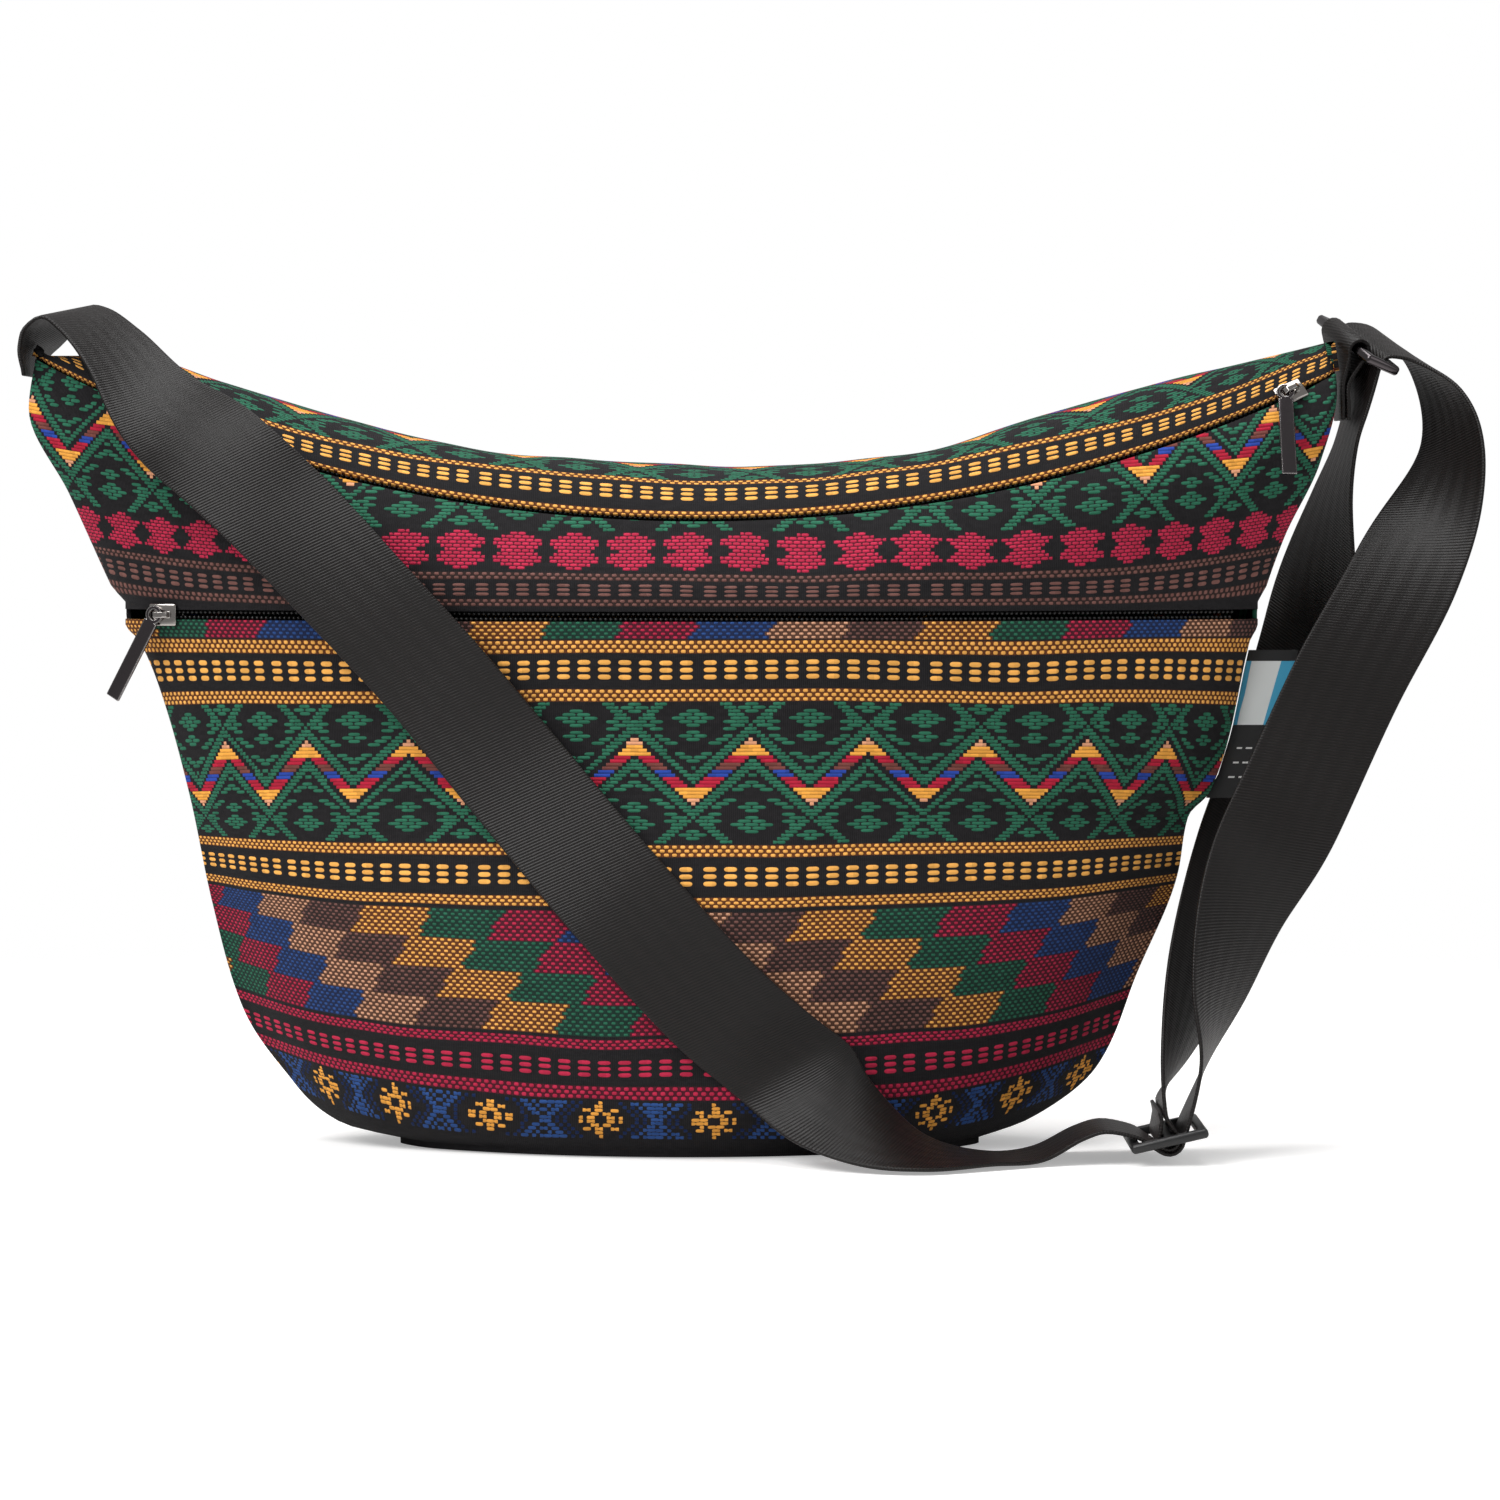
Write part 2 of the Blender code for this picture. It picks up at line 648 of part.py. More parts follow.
def on_front(x, z):
    """y of the bag's front face at a place seen from the front."""
    top = MAIN_ZIP.point(MAIN_ZIP.angle_at(x)).z
    u = (x - across(0, z)) / half_width(z)
    u = min(max(u, -1.0), 1.0)
    base = POCKET_ZIP_HEIGHT
    if z <= base:
        return -front_depth(u, z)
    low, high = Vector((0, -front_depth(u, base), base)), Vector((0, MAIN_ZIP.point(
        MAIN_ZIP.angle_at(x)).y, top))
    return leaning_rise(low, high, min((z - base) / (top - base), 1.0))[0]


def ring_frame():
    drop = (RING_DROP - RING_LONG * RING_DROP.dot(RING_LONG)).normalized()
    return RING_LONG, drop, RING_LONG.cross(drop)


def buckle_loop(name, frame, pitches, bar, collection):
    """A flat metal buckle: bars along the first direction, at the given offsets along the second."""
    centre, long, drop, normal = frame
    turn = Matrix((long, drop, normal)).transposed().to_4x4()
    length = BUCKLE_OPENING / 2 + BUCKLE_SIDE
    low, high = pitches[0] - bar / 2, pitches[-1] + bar / 2
    obj = box_object(name, (-length, low, -bar / 2), (length, high, bar / 2), collection, bar * 0.3, 2)
    evaluated(obj)
    cutters = []
    for before, after in zip(pitches, pitches[1:]):
        cutter = box_object(name + "_slot", (-BUCKLE_OPENING / 2, before + bar / 2, -bar),
                            (BUCKLE_OPENING / 2, after - bar / 2, bar), collection, 0.0008)
        cutters.append(evaluated(cutter))
    for cutter in cutters:
        cut = obj.modifiers.new("slot", "BOOLEAN")
        cut.operation = "DIFFERENCE"
        cut.solver = "EXACT"
        cut.object = cutter
    evaluated(obj)
    for cutter in cutters:
        bpy.data.objects.remove(cutter)
    obj.data.transform(Matrix.Translation(centre) @ turn)
    return finish(obj, gunmetal())


def strap_ring(collection):
    long, drop, normal = ring_frame()
    frame = (RING_CENTRE_UPPER, long, drop, normal)
    return buckle_loop("strap_ring", frame, (0.0, RING_PITCH), RING_BAR, collection)


def adjuster_frame():
    long = Vector((0, -1, 0))
    drop = Vector((math.cos(ADJUSTER_LEAN), 0, math.sin(ADJUSTER_LEAN)))
    return long, drop, long.cross(drop)


def adjuster(collection):
    frame = (ADJUSTER_CENTRE, *adjuster_frame())
    pitches = (-ADJUSTER_PITCH, 0.0, ADJUSTER_PITCH)
    return buckle_loop("adjuster", frame, pitches, ADJUSTER_BAR, collection)


def wrap_radius(bar, layers=0):
    """Radius of the middle of webbing wrapped round a bar, over that many other layers."""
    return bar * 0.72 + GAP * 1.5 + WEBBING / 2 + layers * (WEBBING + GAP)


def right_anchor_loop(collection):
    """Short webbing loop round the ring's upper bar, its two ends sewn to the right tip."""
    long = RING_LONG
    side = Vector((0, 0, 1)).cross(long).normalized()
    turn = arc(RING_CENTRE_UPPER, -side, long.cross(side), wrap_radius(RING_BAR), -25, 205, 11)
    straight = Vector((0, -1, 0))
    inner = right_seam(0.262) + GAP * 5 + WEBBING / 2
    outer = inner + WEBBING + GAP * 2
    route = [(Vector((inner, 0.008, z)), straight) for z in (0.2490, 0.2550, 0.2610)]
    route += [(p, long) for p in turn]
    route += [(Vector((outer, 0.008, z)), straight) for z in (0.2610, 0.2550, 0.2490)]
    return ribbon("right_anchor_loop", smooth_route(route, 0.003), ANCHOR_WIDTH, WEBBING, webbing(),
                  collection)


def strap_route():
    """Stations of the strap, from the left tip across the front, through the adjuster and the ring."""
    stations = []
    deep = Vector((0, -1, 0))
    for x, y, z, w in (
        (-0.2475, 0.008, 0.2765, (0, -1, 0)),
        (-0.2462, 0.008, 0.2822, (0, -1, 0)),
        (-0.2400, 0.008, 0.2866, (-0.05, -1, 0)),
        (-0.2310, 0.005, 0.2835, (-0.20, -1, -0.15)),
        (-0.2190, -0.004, 0.2734, (-0.45, -1, -0.40)),
        (-0.2030, -0.020, 0.2540, (-0.70, -0.75, -0.62)),
    ):
        stations.append((Vector((x, y, z)), Vector(w)))
    for x, z, clear in (
        (-0.1800, 0.2360, 0.0095), (-0.1600, 0.2180, 0.0085), (-0.1310, 0.1880, 0.0080),
        (-0.1070, 0.1620, 0.0060), (-0.0810, 0.1310, 0.0035), (-0.0440, 0.0880, 0.0020),
        (-0.0110, 0.0520, 0.0018), (0.0130, 0.0310, 0.0018),
    ):
        stations.append(front_station(x, z, clear))
    for x, y, z, w in (
        (0.0350, -0.0730, 0.0150, (-0.25, -0.75, -0.62)),
        (0.0560, -0.0760, 0.0055, (0, -0.97, -0.22)),
        (0.0780, -0.0640, 0.0018, (0.05, -1, 0)),
        (0.0960, -0.0530, 0.0020, (0.05, -1, 0)),
        (0.1100, -0.0485, 0.0085, (0.02, -1, 0)),
        (0.1180, -0.0480, 0.0108, (0, -1, 0)),
    ):
        stations.append((Vector((x, y, z)), Vector(w)))
    stations += [(p, deep) for p in through_adjuster()]
    for x, y, z, w in (
        (0.1525, -0.0480, 0.0330, (-0.20, -1, 0.05)),
        (0.1570, -0.0470, 0.0560, (-0.70, -0.70, 0.25)),
        (0.1650, -0.0420, 0.0840, (-0.88, -0.20, 0.40)),
        (0.1820, -0.0340, 0.1180, (-0.88, 0.10, 0.45)),
        (0.2020, -0.0270, 0.1600, (-0.90, 0.10, 0.42)),
        (0.2230, -0.0190, 0.1980, (-0.85, 0.35, 0.32)),
        (0.2400, -0.0060, 0.2400, (-0.45, 0.88, 0.06)),
        (0.2350, 0.0030, 0.2630, (-0.35, 0.90, 0.20)),
    ):
        stations.append((Vector((x, y, z)), Vector(w)))
    stations += round_ring()
    for x, y, z, w in (
        (0.2115, 0.0120, 0.2550, (-0.28, 0.92, 0.25)),
        (0.2105, 0.0150, 0.2420, (-0.45, 0.88, 0.10)),
        (0.2050, 0.0175, 0.2240, (-0.80, 0.60, 0.10)),
        (0.1985, 0.0190, 0.1980, (-0.97, 0.20, 0.08)),
        (0.1960, 0.0190, 0.1700, (-0.97, 0.10, 0.25)),
        (0.1810, 0.0150, 0.1240, (-0.95, 0.02, 0.28)),
        (0.1720, 0.0080, 0.1020, (-0.93, -0.20, 0.28)),
        (0.1560, -0.0220, 0.0665, (-0.75, -0.65, 0.20)),
        (0.1425, -0.0460, 0.0340, (-0.20, -1, 0.05)),
    ):
        stations.append((Vector((x, y, z)), Vector(w)))
    stations += [(p, deep) for p in round_adjuster()]
    return stations


def front_station(x, z, clear):
    """A station lying along the bag's front, tilted as the cloth is, at a clearance from it."""
    side = Vector((-0.73, 0, -0.68)).normalized() * (WEBBING_WIDTH / 2)
    near, far = on_front(x + side.x, z + side.z), on_front(x - side.x, z - side.z)
    middle = on_front(x, z)
    stand = clear + GAP + WEBBING / 2 + max(0.0, (near + far) / 2 - middle)
    width = Vector((side.x, (near - far) / 2, side.z))
    return Vector((x, (near + far) / 2 - stand, z)), width


def through_adjuster():
    """The long run passes over the first bar, under the middle bar and up beside the last."""
    _, along, up = adjuster_frame()
    first = ADJUSTER_CENTRE - along * ADJUSTER_PITCH
    outer, inner = wrap_radius(ADJUSTER_BAR), wrap_radius(ADJUSTER_BAR, 1)
    lean = math.degrees(math.asin((outer + inner) / ADJUSTER_PITCH))
    points = arc(first, along, up, outer, 65, 90 - lean, 1)
    points += arc(ADJUSTER_CENTRE, along, up, inner, 270 - lean, 340, 6)
    return points


def round_adjuster():
    """The strap's end, folded round the adjuster's middle bar and sewn to the strap above it."""
    _, along, up = adjuster_frame()
    apart = WEBBING / 2 + GAP
    legs = [along * apart + up * height for height in (0.0100, 0.0065)]
    end = [up * height - along * apart for height in (0.0065, 0.0100)]
    turn = arc(ADJUSTER_CENTRE, along, up, wrap_radius(ADJUSTER_BAR), 25, -205, 11)
    return [ADJUSTER_CENTRE + p for p in legs] + turn + [ADJUSTER_CENTRE + p for p in end]


def round_ring():
    """The strap turns back round the ring's lower bar."""
    long, drop, normal = ring_frame()
    centre = RING_CENTRE_UPPER + drop * RING_PITCH
    turn = [centre + drop * 0.0070 + normal * 0.0050]
    turn += arc(centre, normal, -drop, wrap_radius(RING_BAR), 15, 105, 5)
    turn += [centre - drop * 0.0022 - normal * 0.0060]
    return [(p, -long) for p in turn]


def shoulder_strap(collection):
    return ribbon("shoulder_strap", smooth_route(strap_route(), STRAP_STEP), WEBBING_WIDTH, WEBBING,
                  webbing(), collection)


def side_label(collection):
    """A woven label folded in two, caught in the right side seam."""
    rows = []
    for i in range(7):
        z = LABEL_TOP - LABEL_HEIGHT * (1 - i / 6)
        root = right_seam(z) + 2 * GAP
        spread = LABEL_SHEET / 2 + GAP
        profile = [(root, -spread), (root + LABEL_REACH * 0.9, -spread), (root + LABEL_REACH, 0.0),
                   (root + LABEL_REACH * 0.9, spread), (root, spread)]
        rows.append([Vector((x, y, z)) for x, y in profile])
    return finish(thicken(new_object("side_label", grid(rows), collection), LABEL_SHEET, 0.0),
                  label_cloth())


def pocket_lining(collection):
    """The sheet that parts the front pocket from the inside of the bag."""
    rows = []
    for z in [POCKET_ZIP_HEIGHT * share for share in LINING_ROWS]:
        row = []
        for u in [-0.9 + 1.8 * i / 12 for i in range(13)]:
            row.append(Vector((across(u, z), LINING_INSET - front_depth(u, z), z)))
        rows.append(row)
    return finish(thicken(new_object("pocket_lining", grid(rows), collection), LINING), black_cloth())


def build():
    for obj in list(bpy.data.objects):
        bpy.data.objects.remove(obj)
    collection = bpy.data.collections.new("crossbody_bag")
    bpy.context.scene.collection.children.link(collection)
    pocket_panel(collection)
    front_upper_panel(collection)
    back_panel(collection)
    base_panel(collection)
    pocket_lining(collection)
    left_end = POCKET_ZIP.point(0).x - corner_share(POCKET_ZIP_HEIGHT) * half_width(POCKET_ZIP_HEIGHT)
    right_end = POCKET_ZIP.point(0).x * 2 - left_end
    zip_parts("pocket_zip", ("upper", "lower"), POCKET_ZIP, left_end, right_end, collection)
    zip_parts("main_zip", ("back", "front"), MAIN_ZIP, MAIN_ZIP_LEFT, MAIN_ZIP_RIGHT, collection)
    place_on_zip("pocket", POCKET_ZIP, left_end + 0.006, math.radians(30), collection)
    place_on_zip("main", MAIN_ZIP, MAIN_ZIP_RIGHT - 0.006, math.radians(28), collection)
    right_anchor_loop(collection)
    strap_ring(collection)
    adjuster(collection)
    shoulder_strap(collection)
    side_label(collection)


build()
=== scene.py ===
import math
import random

import bmesh
import bpy
import numpy as np
from mathutils import Matrix, Vector, noise


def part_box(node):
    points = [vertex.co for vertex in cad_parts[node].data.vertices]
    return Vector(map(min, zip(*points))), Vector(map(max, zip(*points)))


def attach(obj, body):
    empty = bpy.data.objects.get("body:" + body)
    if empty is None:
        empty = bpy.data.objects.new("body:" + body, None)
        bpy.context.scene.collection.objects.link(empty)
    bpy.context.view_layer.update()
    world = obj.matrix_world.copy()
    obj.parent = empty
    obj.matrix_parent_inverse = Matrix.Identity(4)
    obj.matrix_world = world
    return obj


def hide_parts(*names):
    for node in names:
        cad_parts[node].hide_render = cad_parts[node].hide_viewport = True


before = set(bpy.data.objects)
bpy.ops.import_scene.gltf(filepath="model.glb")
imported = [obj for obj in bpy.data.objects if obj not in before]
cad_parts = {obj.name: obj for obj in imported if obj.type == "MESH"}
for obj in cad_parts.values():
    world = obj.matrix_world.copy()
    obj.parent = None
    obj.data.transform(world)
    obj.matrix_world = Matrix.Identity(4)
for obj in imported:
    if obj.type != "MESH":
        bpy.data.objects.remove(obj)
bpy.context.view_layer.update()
random.seed(11)

# Sizes of the cloth body, in metres, as in the CAD
body = dict(
    cloth=0.0016, gap=0.0003, seamTurn=0.0025,
    leftSeam=[(0.0, -0.112), (0.007, -0.1423), (0.025, -0.1617), (0.0462, -0.1757), (0.0831, -0.1863),
              (0.1203, -0.1940), (0.1612, -0.2056), (0.1931, -0.2210), (0.2239, -0.2342),
              (0.2534, -0.2478), (0.2720, -0.2460)],
    rightSeam=[(0.0, 0.072), (0.0082, 0.0956), (0.0270, 0.1193), (0.0588, 0.1327), (0.0932, 0.1466),
               (0.1130, 0.1502), (0.1210, 0.1574), (0.1772, 0.1722), (0.2090, 0.1826), (0.2342, 0.1942),
               (0.2607, 0.2005), (0.2760, 0.1985)],
    ridge=[(-0.246, 0.2712), (-0.2155, 0.2712), (-0.1826, 0.2619), (-0.1166, 0.2442), (-0.0666, 0.2362),
           (-0.0006, 0.2337), (0.0509, 0.2375), (0.1050, 0.2524), (0.1543, 0.2648), (0.1985, 0.2760)],
    frontDepth=[(0.0, 0.022, 0.023), (0.020, 0.020, 0.038), (0.080, 0.016, 0.050),
                (0.140, 0.0128, 0.0412), (0.1825, 0.012, 0.040)],
    backDepth=[(0.0, 0.022, 0.023), (0.020, 0.020, 0.036), (0.080, 0.018, 0.046),
               (0.1825, 0.016, 0.038), (0.2760, 0.016, 0.012)],
    cornerBase=0.86, cornerZip=0.955, cornerTip=0.985, ridgeDepth=0.006, ridgeRound=0.055, foot=0.002,
)

# The two zips and their chain
zips = dict(
    pocketHeight=0.1825, pocketBand=0.0045, middle=(-0.018, -0.036, 0.2153), lean=math.radians(32.0),
    halfChord=0.200, rise=0.0490, band=0.0025, left=-0.2160, right=0.1900,
    pocketSlot=0.0017, mainSlot=0.0011, coilMiddle=0.0016, coilBack=0.0024, toothPitch=0.00169,
    toothHalf=0.00062, toothDepth=0.00075, webHalf=0.0002,
    tapeProfile=[(0.0005, 0.0), (0.0042, 0.0), (0.0075, 0.0012)], tapeThickness=0.0005,
)

# Bands of the brocade from the base up: lowest and highest millimetre, kind, colour, rows of floats
bands = [
    (1.0, 13.4, "cross", "blue", 10), (14.1, 18.3, "dots", "crimson", 3),
    (21.0, 27.2, "dashes", "crimson", 3), (30.7, 34.1, "dots", "crimson", 3),
    (35.2, 78.3, "diamonds", "", 32), (79.7, 83.4, "dots", "yellow", 3),
    (86.9, 94.5, "dashes", "yellow", 3), (97.6, 101.9, "dots", "yellow", 3),
    (102.4, 151.7, "zigzag", "", 40), (151.9, 156.2, "dots", "yellow", 3),
    (159.1, 166.6, "dashes", "yellow", 3), (168.6, 173.1, "dots", "yellow", 3),
    (173.5, 181.0, "diamonds", "", 6), (184.8, 187.2, "dots", "brown", 2),
    (188.0, 192.4, "dashes", "brown", 3), (193.4, 195.9, "dots", "brown", 2),
    (196.9, 210.3, "hexagons", "", 11), (210.7, 260.0, "zigzag", "", 40),
    (260.2, 263.0, "dots", "yellow", 2), (265.0, 272.4, "dashes", "yellow", 3),
    (276.6, 279.4, "dots", "yellow", 2),
]

# Sizes of the weave in millimetres: length of a float, repeats of the motifs, a slanted block's tier
weave = dict(
    short=2.8, long=5.0375, fine=1.4, rib=0.69, dash=7.05, dashGroup=78.7, zigzag=40.3, zigzagSlope=0.888,
    zigzagFoot=16.4, block=26.1, tier=10.78, tierShift=16.6, lozenge=19.7, lozengeHalf=6.7, cross=39.7,
    crossMiddle=6.2,
)

# The Dark tones are painted shade: darker copies of a thread's colour laid at the sides of its floats and in
# the gaps between them. blueDark is also the real darker blue thread of the crosses.
threads = dict(
    ground="#191819", groundLight="#2b292c", green="#2b674f", greenDark="#14352a",
    yellow="#eeac56", yellowDark="#6b3a17", crimson="#b82a48", crimsonDark="#560f24",
    brown="#74504a", brownDark="#33231f", blue="#2c4c86", blueDark="#172850", tan="#d09b7c",
    tanDark="#5f3f2e", salmon="#dd9d78", orange="#eca446", red="#ad2038", mauve="#71403a",
    royal="#2a459c",
)

strap = dict(width=0.038, thickness=0.0013, step=0.0022)

# spread: how much larger the front of the bag looks from the camera than its outline, sink: how much lower it
# is seen for each metre nearer
view = dict(away=1.9, lift=math.radians(2.6), frameWidth=0.5172, aimX=-0.0009, aimZ=0.1355, spread=1.026,
            sink=0.0454)

light = dict(
    worldStrength=0.34, keyPower=31.0, fillPower=4.0, topPower=15.0, floorColor="#f4f3f2", floorGlow=0.36,
)


def hexColor(text):
    parts = [int(text[i:i + 2], 16) / 255 for i in (1, 3, 5)]
    return tuple(c / 12.92 if c <= 0.04045 else ((c + 0.055) / 1.055) ** 2.4 for c in parts) + (1.0,)


def curveThrough(points, column=1):
    x = np.array([p[0] for p in points], float)
    y = np.array([p[column] for p in points], float)
    step = np.diff(x)
    rise = np.diff(y) / step
    slope = np.zeros(len(x))
    slope[0], slope[-1] = rise[0], rise[-1]
    for i in range(1, len(x) - 1):
        if rise[i - 1] * rise[i] > 0:
            first, second = 2 * step[i] + step[i - 1], step[i] + 2 * step[i - 1]
            slope[i] = (first + second) / (first / rise[i - 1] + second / rise[i])

    def value(at):
        at = min(max(at, x[0]), x[-1])
        i = min(int(np.searchsorted(x, at, side="right")) - 1, len(step) - 1)
        t = (at - x[i]) / step[i]
        return float((1 + 2 * t) * (1 - t) ** 2 * y[i] + t * (1 - t) ** 2 * step[i] * slope[i]
                     + t * t * (3 - 2 * t) * y[i + 1] + t * t * (t - 1) * step[i] * slope[i + 1])

    return value


leftCurve = curveThrough(body["leftSeam"])
rightCurve = curveThrough(body["rightSeam"])
ridgeHeight = curveThrough(body["ridge"])
frontEdgeDepth = curveThrough(body["frontDepth"], 1)
frontBulge = curveThrough(body["frontDepth"], 2)
backEdgeDepth = curveThrough(body["backDepth"], 1)
backBulge = curveThrough(body["backDepth"], 2)


def level(z):
    away = abs(z - zips["pocketHeight"])
    if away > 2 * zips["pocketBand"]:
        return z
    return zips["pocketHeight"] + math.copysign(max(0.0, away - zips["pocketBand"]) * 2,
                                                z - zips["pocketHeight"])


def across(u, z):
    left, right = leftCurve(level(z)), rightCurve(level(z))
    return (left + right) / 2 + (right - left) / 2 * u


def halfWidth(z):
    return (rightCurve(level(z)) - leftCurve(level(z))) / 2


def cornerShare(z):
    t = min(z / zips["pocketHeight"], 1.0)
    return body["cornerBase"] + (body["cornerZip"] - body["cornerBase"]) * t


def rounding(u, start):
    t = max(0.0, (abs(u) - start) / (1 - start))
    return math.sqrt(max(0.0, 1 - t * t))


def arcHeight(u, z, bulge):
    chord = cornerShare(z) * halfWidth(z)
    radius = (chord * chord + bulge * bulge) / (2 * bulge)
    return math.sqrt(radius * radius - (u * halfWidth(z)) ** 2) - (radius - bulge)


def frontDepth(u, z):
    z = min(level(z), zips["pocketHeight"])
    full = frontEdgeDepth(z) + arcHeight(u, z, frontBulge(z))
    return body["seamTurn"] + (full - body["seamTurn"]) * rounding(u, cornerShare(z))


def backDepth(u, z):
    full = backEdgeDepth(z) + arcHeight(u, z, backBulge(z))
    return body["seamTurn"] + (full - body["seamTurn"]) * rounding(u, cornerShare(z))


class ZipLine:
    def __init__(self, middle, halfChord, rise, inward, inPlane):
        self.radius = (halfChord ** 2 + rise ** 2) / (2 * rise)
        self.middle = Vector(middle)
        self.along = Vector((1, 0, 0))
        self.inward = Vector(inward)
        self.up = self.along.cross(self.inward)
        self.inPlane = inPlane
        self.centre = self.middle + (self.up if inPlane else self.inward) * self.radius
        self.axis = self.inward if inPlane else self.up

    def angleAt(self, x, up=0.0):
        return math.asin((x - self.middle.x) / (self.radius - up if self.inPlane else self.radius))

    def axes(self, angle):
        turned = Matrix.Rotation(-angle if self.inPlane else angle, 3, self.axis)
        return turned @ self.along, turned @ self.inward, turned @ self.up

    def point(self, angle, up=0.0, inward=0.0):
        _, into, above = self.axes(angle)
        return self.centre - (above if self.inPlane else into) * self.radius + above * up + into * inward


pocketZ = zips["pocketHeight"]
pocketLine = ZipLine((across(0, pocketZ), -frontDepth(0, pocketZ), pocketZ),
                     cornerShare(pocketZ) * halfWidth(pocketZ), frontBulge(pocketZ), (0, 1, 0), False)
mainLine = ZipLine(zips["middle"], zips["halfChord"], zips["rise"],
                   (0, math.cos(zips["lean"]), -math.sin(zips["lean"])), True)


def slotHalf(x):
    past = max(zips["left"] - x, x - zips["right"], 0.0)
    return max(zips["mainSlot"] - past * 0.1, zips["mainSlot"] / 2)


def mainEdge(u, side, away=0.0):
    z = zips["middle"][2]
    for _ in range(30):
        x = across(u, z)
        up = side * (slotHalf(x) + away)
        edge = mainLine.point(mainLine.angleAt(x, up), up=up)
        z += (edge.z - z) * 0.7
    turn = side * body["seamTurn"]
    return Vector((across(u, edge.z), turn + (edge.y - turn) * rounding(u, body["cornerTip"]), edge.z))


def ridgePoint(u):
    z = 0.25
    for _ in range(30):
        z += (ridgeHeight(across(u, z)) - z) * 0.7
    turn = body["seamTurn"]
    return Vector((across(u, z), turn + (body["ridgeDepth"] - turn) * rounding(u, body["cornerTip"]), z))


def leaningRise(low, top, share):
    rise = top.z - low.z
    lean = rise * math.tan(zips["lean"])
    y = low.y * (1 + 2 * share) * (1 - share) ** 2 + top.y * share * share * (3 - 2 * share)
    return y + lean * share * share * (share - 1), low.z + rise * share


def overTheRidge(edge, ridge, share):
    bend = min(edge.y + (ridge.z - edge.z) * math.tan(zips["lean"]), ridge.y)
    y = edge.y * (1 - share) ** 2 + bend * 2 * share * (1 - share) + ridge.y * share ** 2
    return y, edge.z * (1 - share) ** 2 + ridge.z * (2 * share * (1 - share) + share ** 2)


def backPoint(u, z, ridge):
    seam = max(z, body["foot"])
    closing = min((ridge.z - z) / body["ridgeRound"], 1.0)
    full = backDepth(u, seam)
    return Vector((across(u, seam), ridge.y + (full - ridge.y) * math.sqrt(1 - (1 - closing) ** 2), z))


def columnShares(count):
    start = body["cornerZip"]
    inner = [start * (2 * i / count - 1) for i in range(count + 1)]
    corner = [start + (1 - start) * math.sin(math.pi / 2 * t / 9) for t in range(1, 10)]
    return [-c for c in reversed(corner)] + inner + corner


columns = columnShares(150)

# Mesh helpers


def newObject(name, verts, faces):
    mesh = bpy.data.meshes.new(name)
    mesh.from_pydata([tuple(v) for v in verts], [], faces)
    mesh.update()
    obj = bpy.data.objects.new(name, mesh)
    bpy.context.scene.collection.objects.link(obj)
    return obj


def gridFaces(rowCount, colCount):
    faces = []
    for r in range(rowCount - 1):
        for c in range(colCount - 1):
            a = r * colCount + c
            faces.append((a, a + 1, a + colCount + 1, a + colCount))
    return faces


def addUv(obj, name, coords):
    layer = obj.data.uv_layers.new(name=name)
    values = np.array([coords[loop.vertex_index] for loop in obj.data.loops], np.float32)
    layer.data.foreach_set("uv", values.ravel())


def bake(obj):
    bpy.context.view_layer.update()
    source = obj.evaluated_get(bpy.context.evaluated_depsgraph_get())
    mesh = bpy.data.meshes.new_from_object(source, depsgraph=bpy.context.evaluated_depsgraph_get())
    obj.modifiers.clear()
    obj.data = mesh
    return obj


def smoothShade(obj, angle=40):
    obj.data.shade_smooth()
    obj.data.set_sharp_from_angle(angle=math.radians(angle))
    return obj


def addSolidify(obj, thickness, offset=-1.0):
    solid = obj.modifiers.new("thickness", "SOLIDIFY")
    solid.thickness = thickness
    solid.offset = offset
    solid.use_even_offset = False
    return solid


def addBevel(obj, width, segments=2, angle=50):
    bevel = obj.modifiers.new("edges", "BEVEL")
    bevel.width = width
    bevel.segments = segments
    bevel.limit_method = "ANGLE"
    bevel.angle_limit = math.radians(angle)
    return bevel


def nodeCopy(node, name):
    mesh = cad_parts[node].data.copy()
    bm = bmesh.new()
    bm.from_mesh(mesh)
    bmesh.ops.remove_doubles(bm, verts=bm.verts, dist=0.00001)
    bmesh.ops.dissolve_limit(bm, angle_limit=0.01, verts=bm.verts, edges=bm.edges)
    bm.to_mesh(mesh)
    bm.free()
    obj = bpy.data.objects.new(name, mesh)
    bpy.context.scene.collection.objects.link(obj)
    return obj


def place(obj, bodyName, slot, material, *nodes):
    obj.data.materials.clear()
    obj.data.materials.append(material)
    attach(obj, bodyName)
    if nodes:
        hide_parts(*nodes)
    return obj


# Shader helpers


def addNode(tree, kind, settings=None, **inputs):
    node = tree.nodes.new(kind)
    for key, value in (settings or {}).items():
        setattr(node, key, value)
    for key, value in inputs.items():
        socket = node.inputs[int(key[1:])] if key[1:].isdigit() else node.inputs[key]
        if isinstance(value, bpy.types.NodeSocket):
            tree.links.new(value, socket)
        else:
            socket.default_value = value
    return node


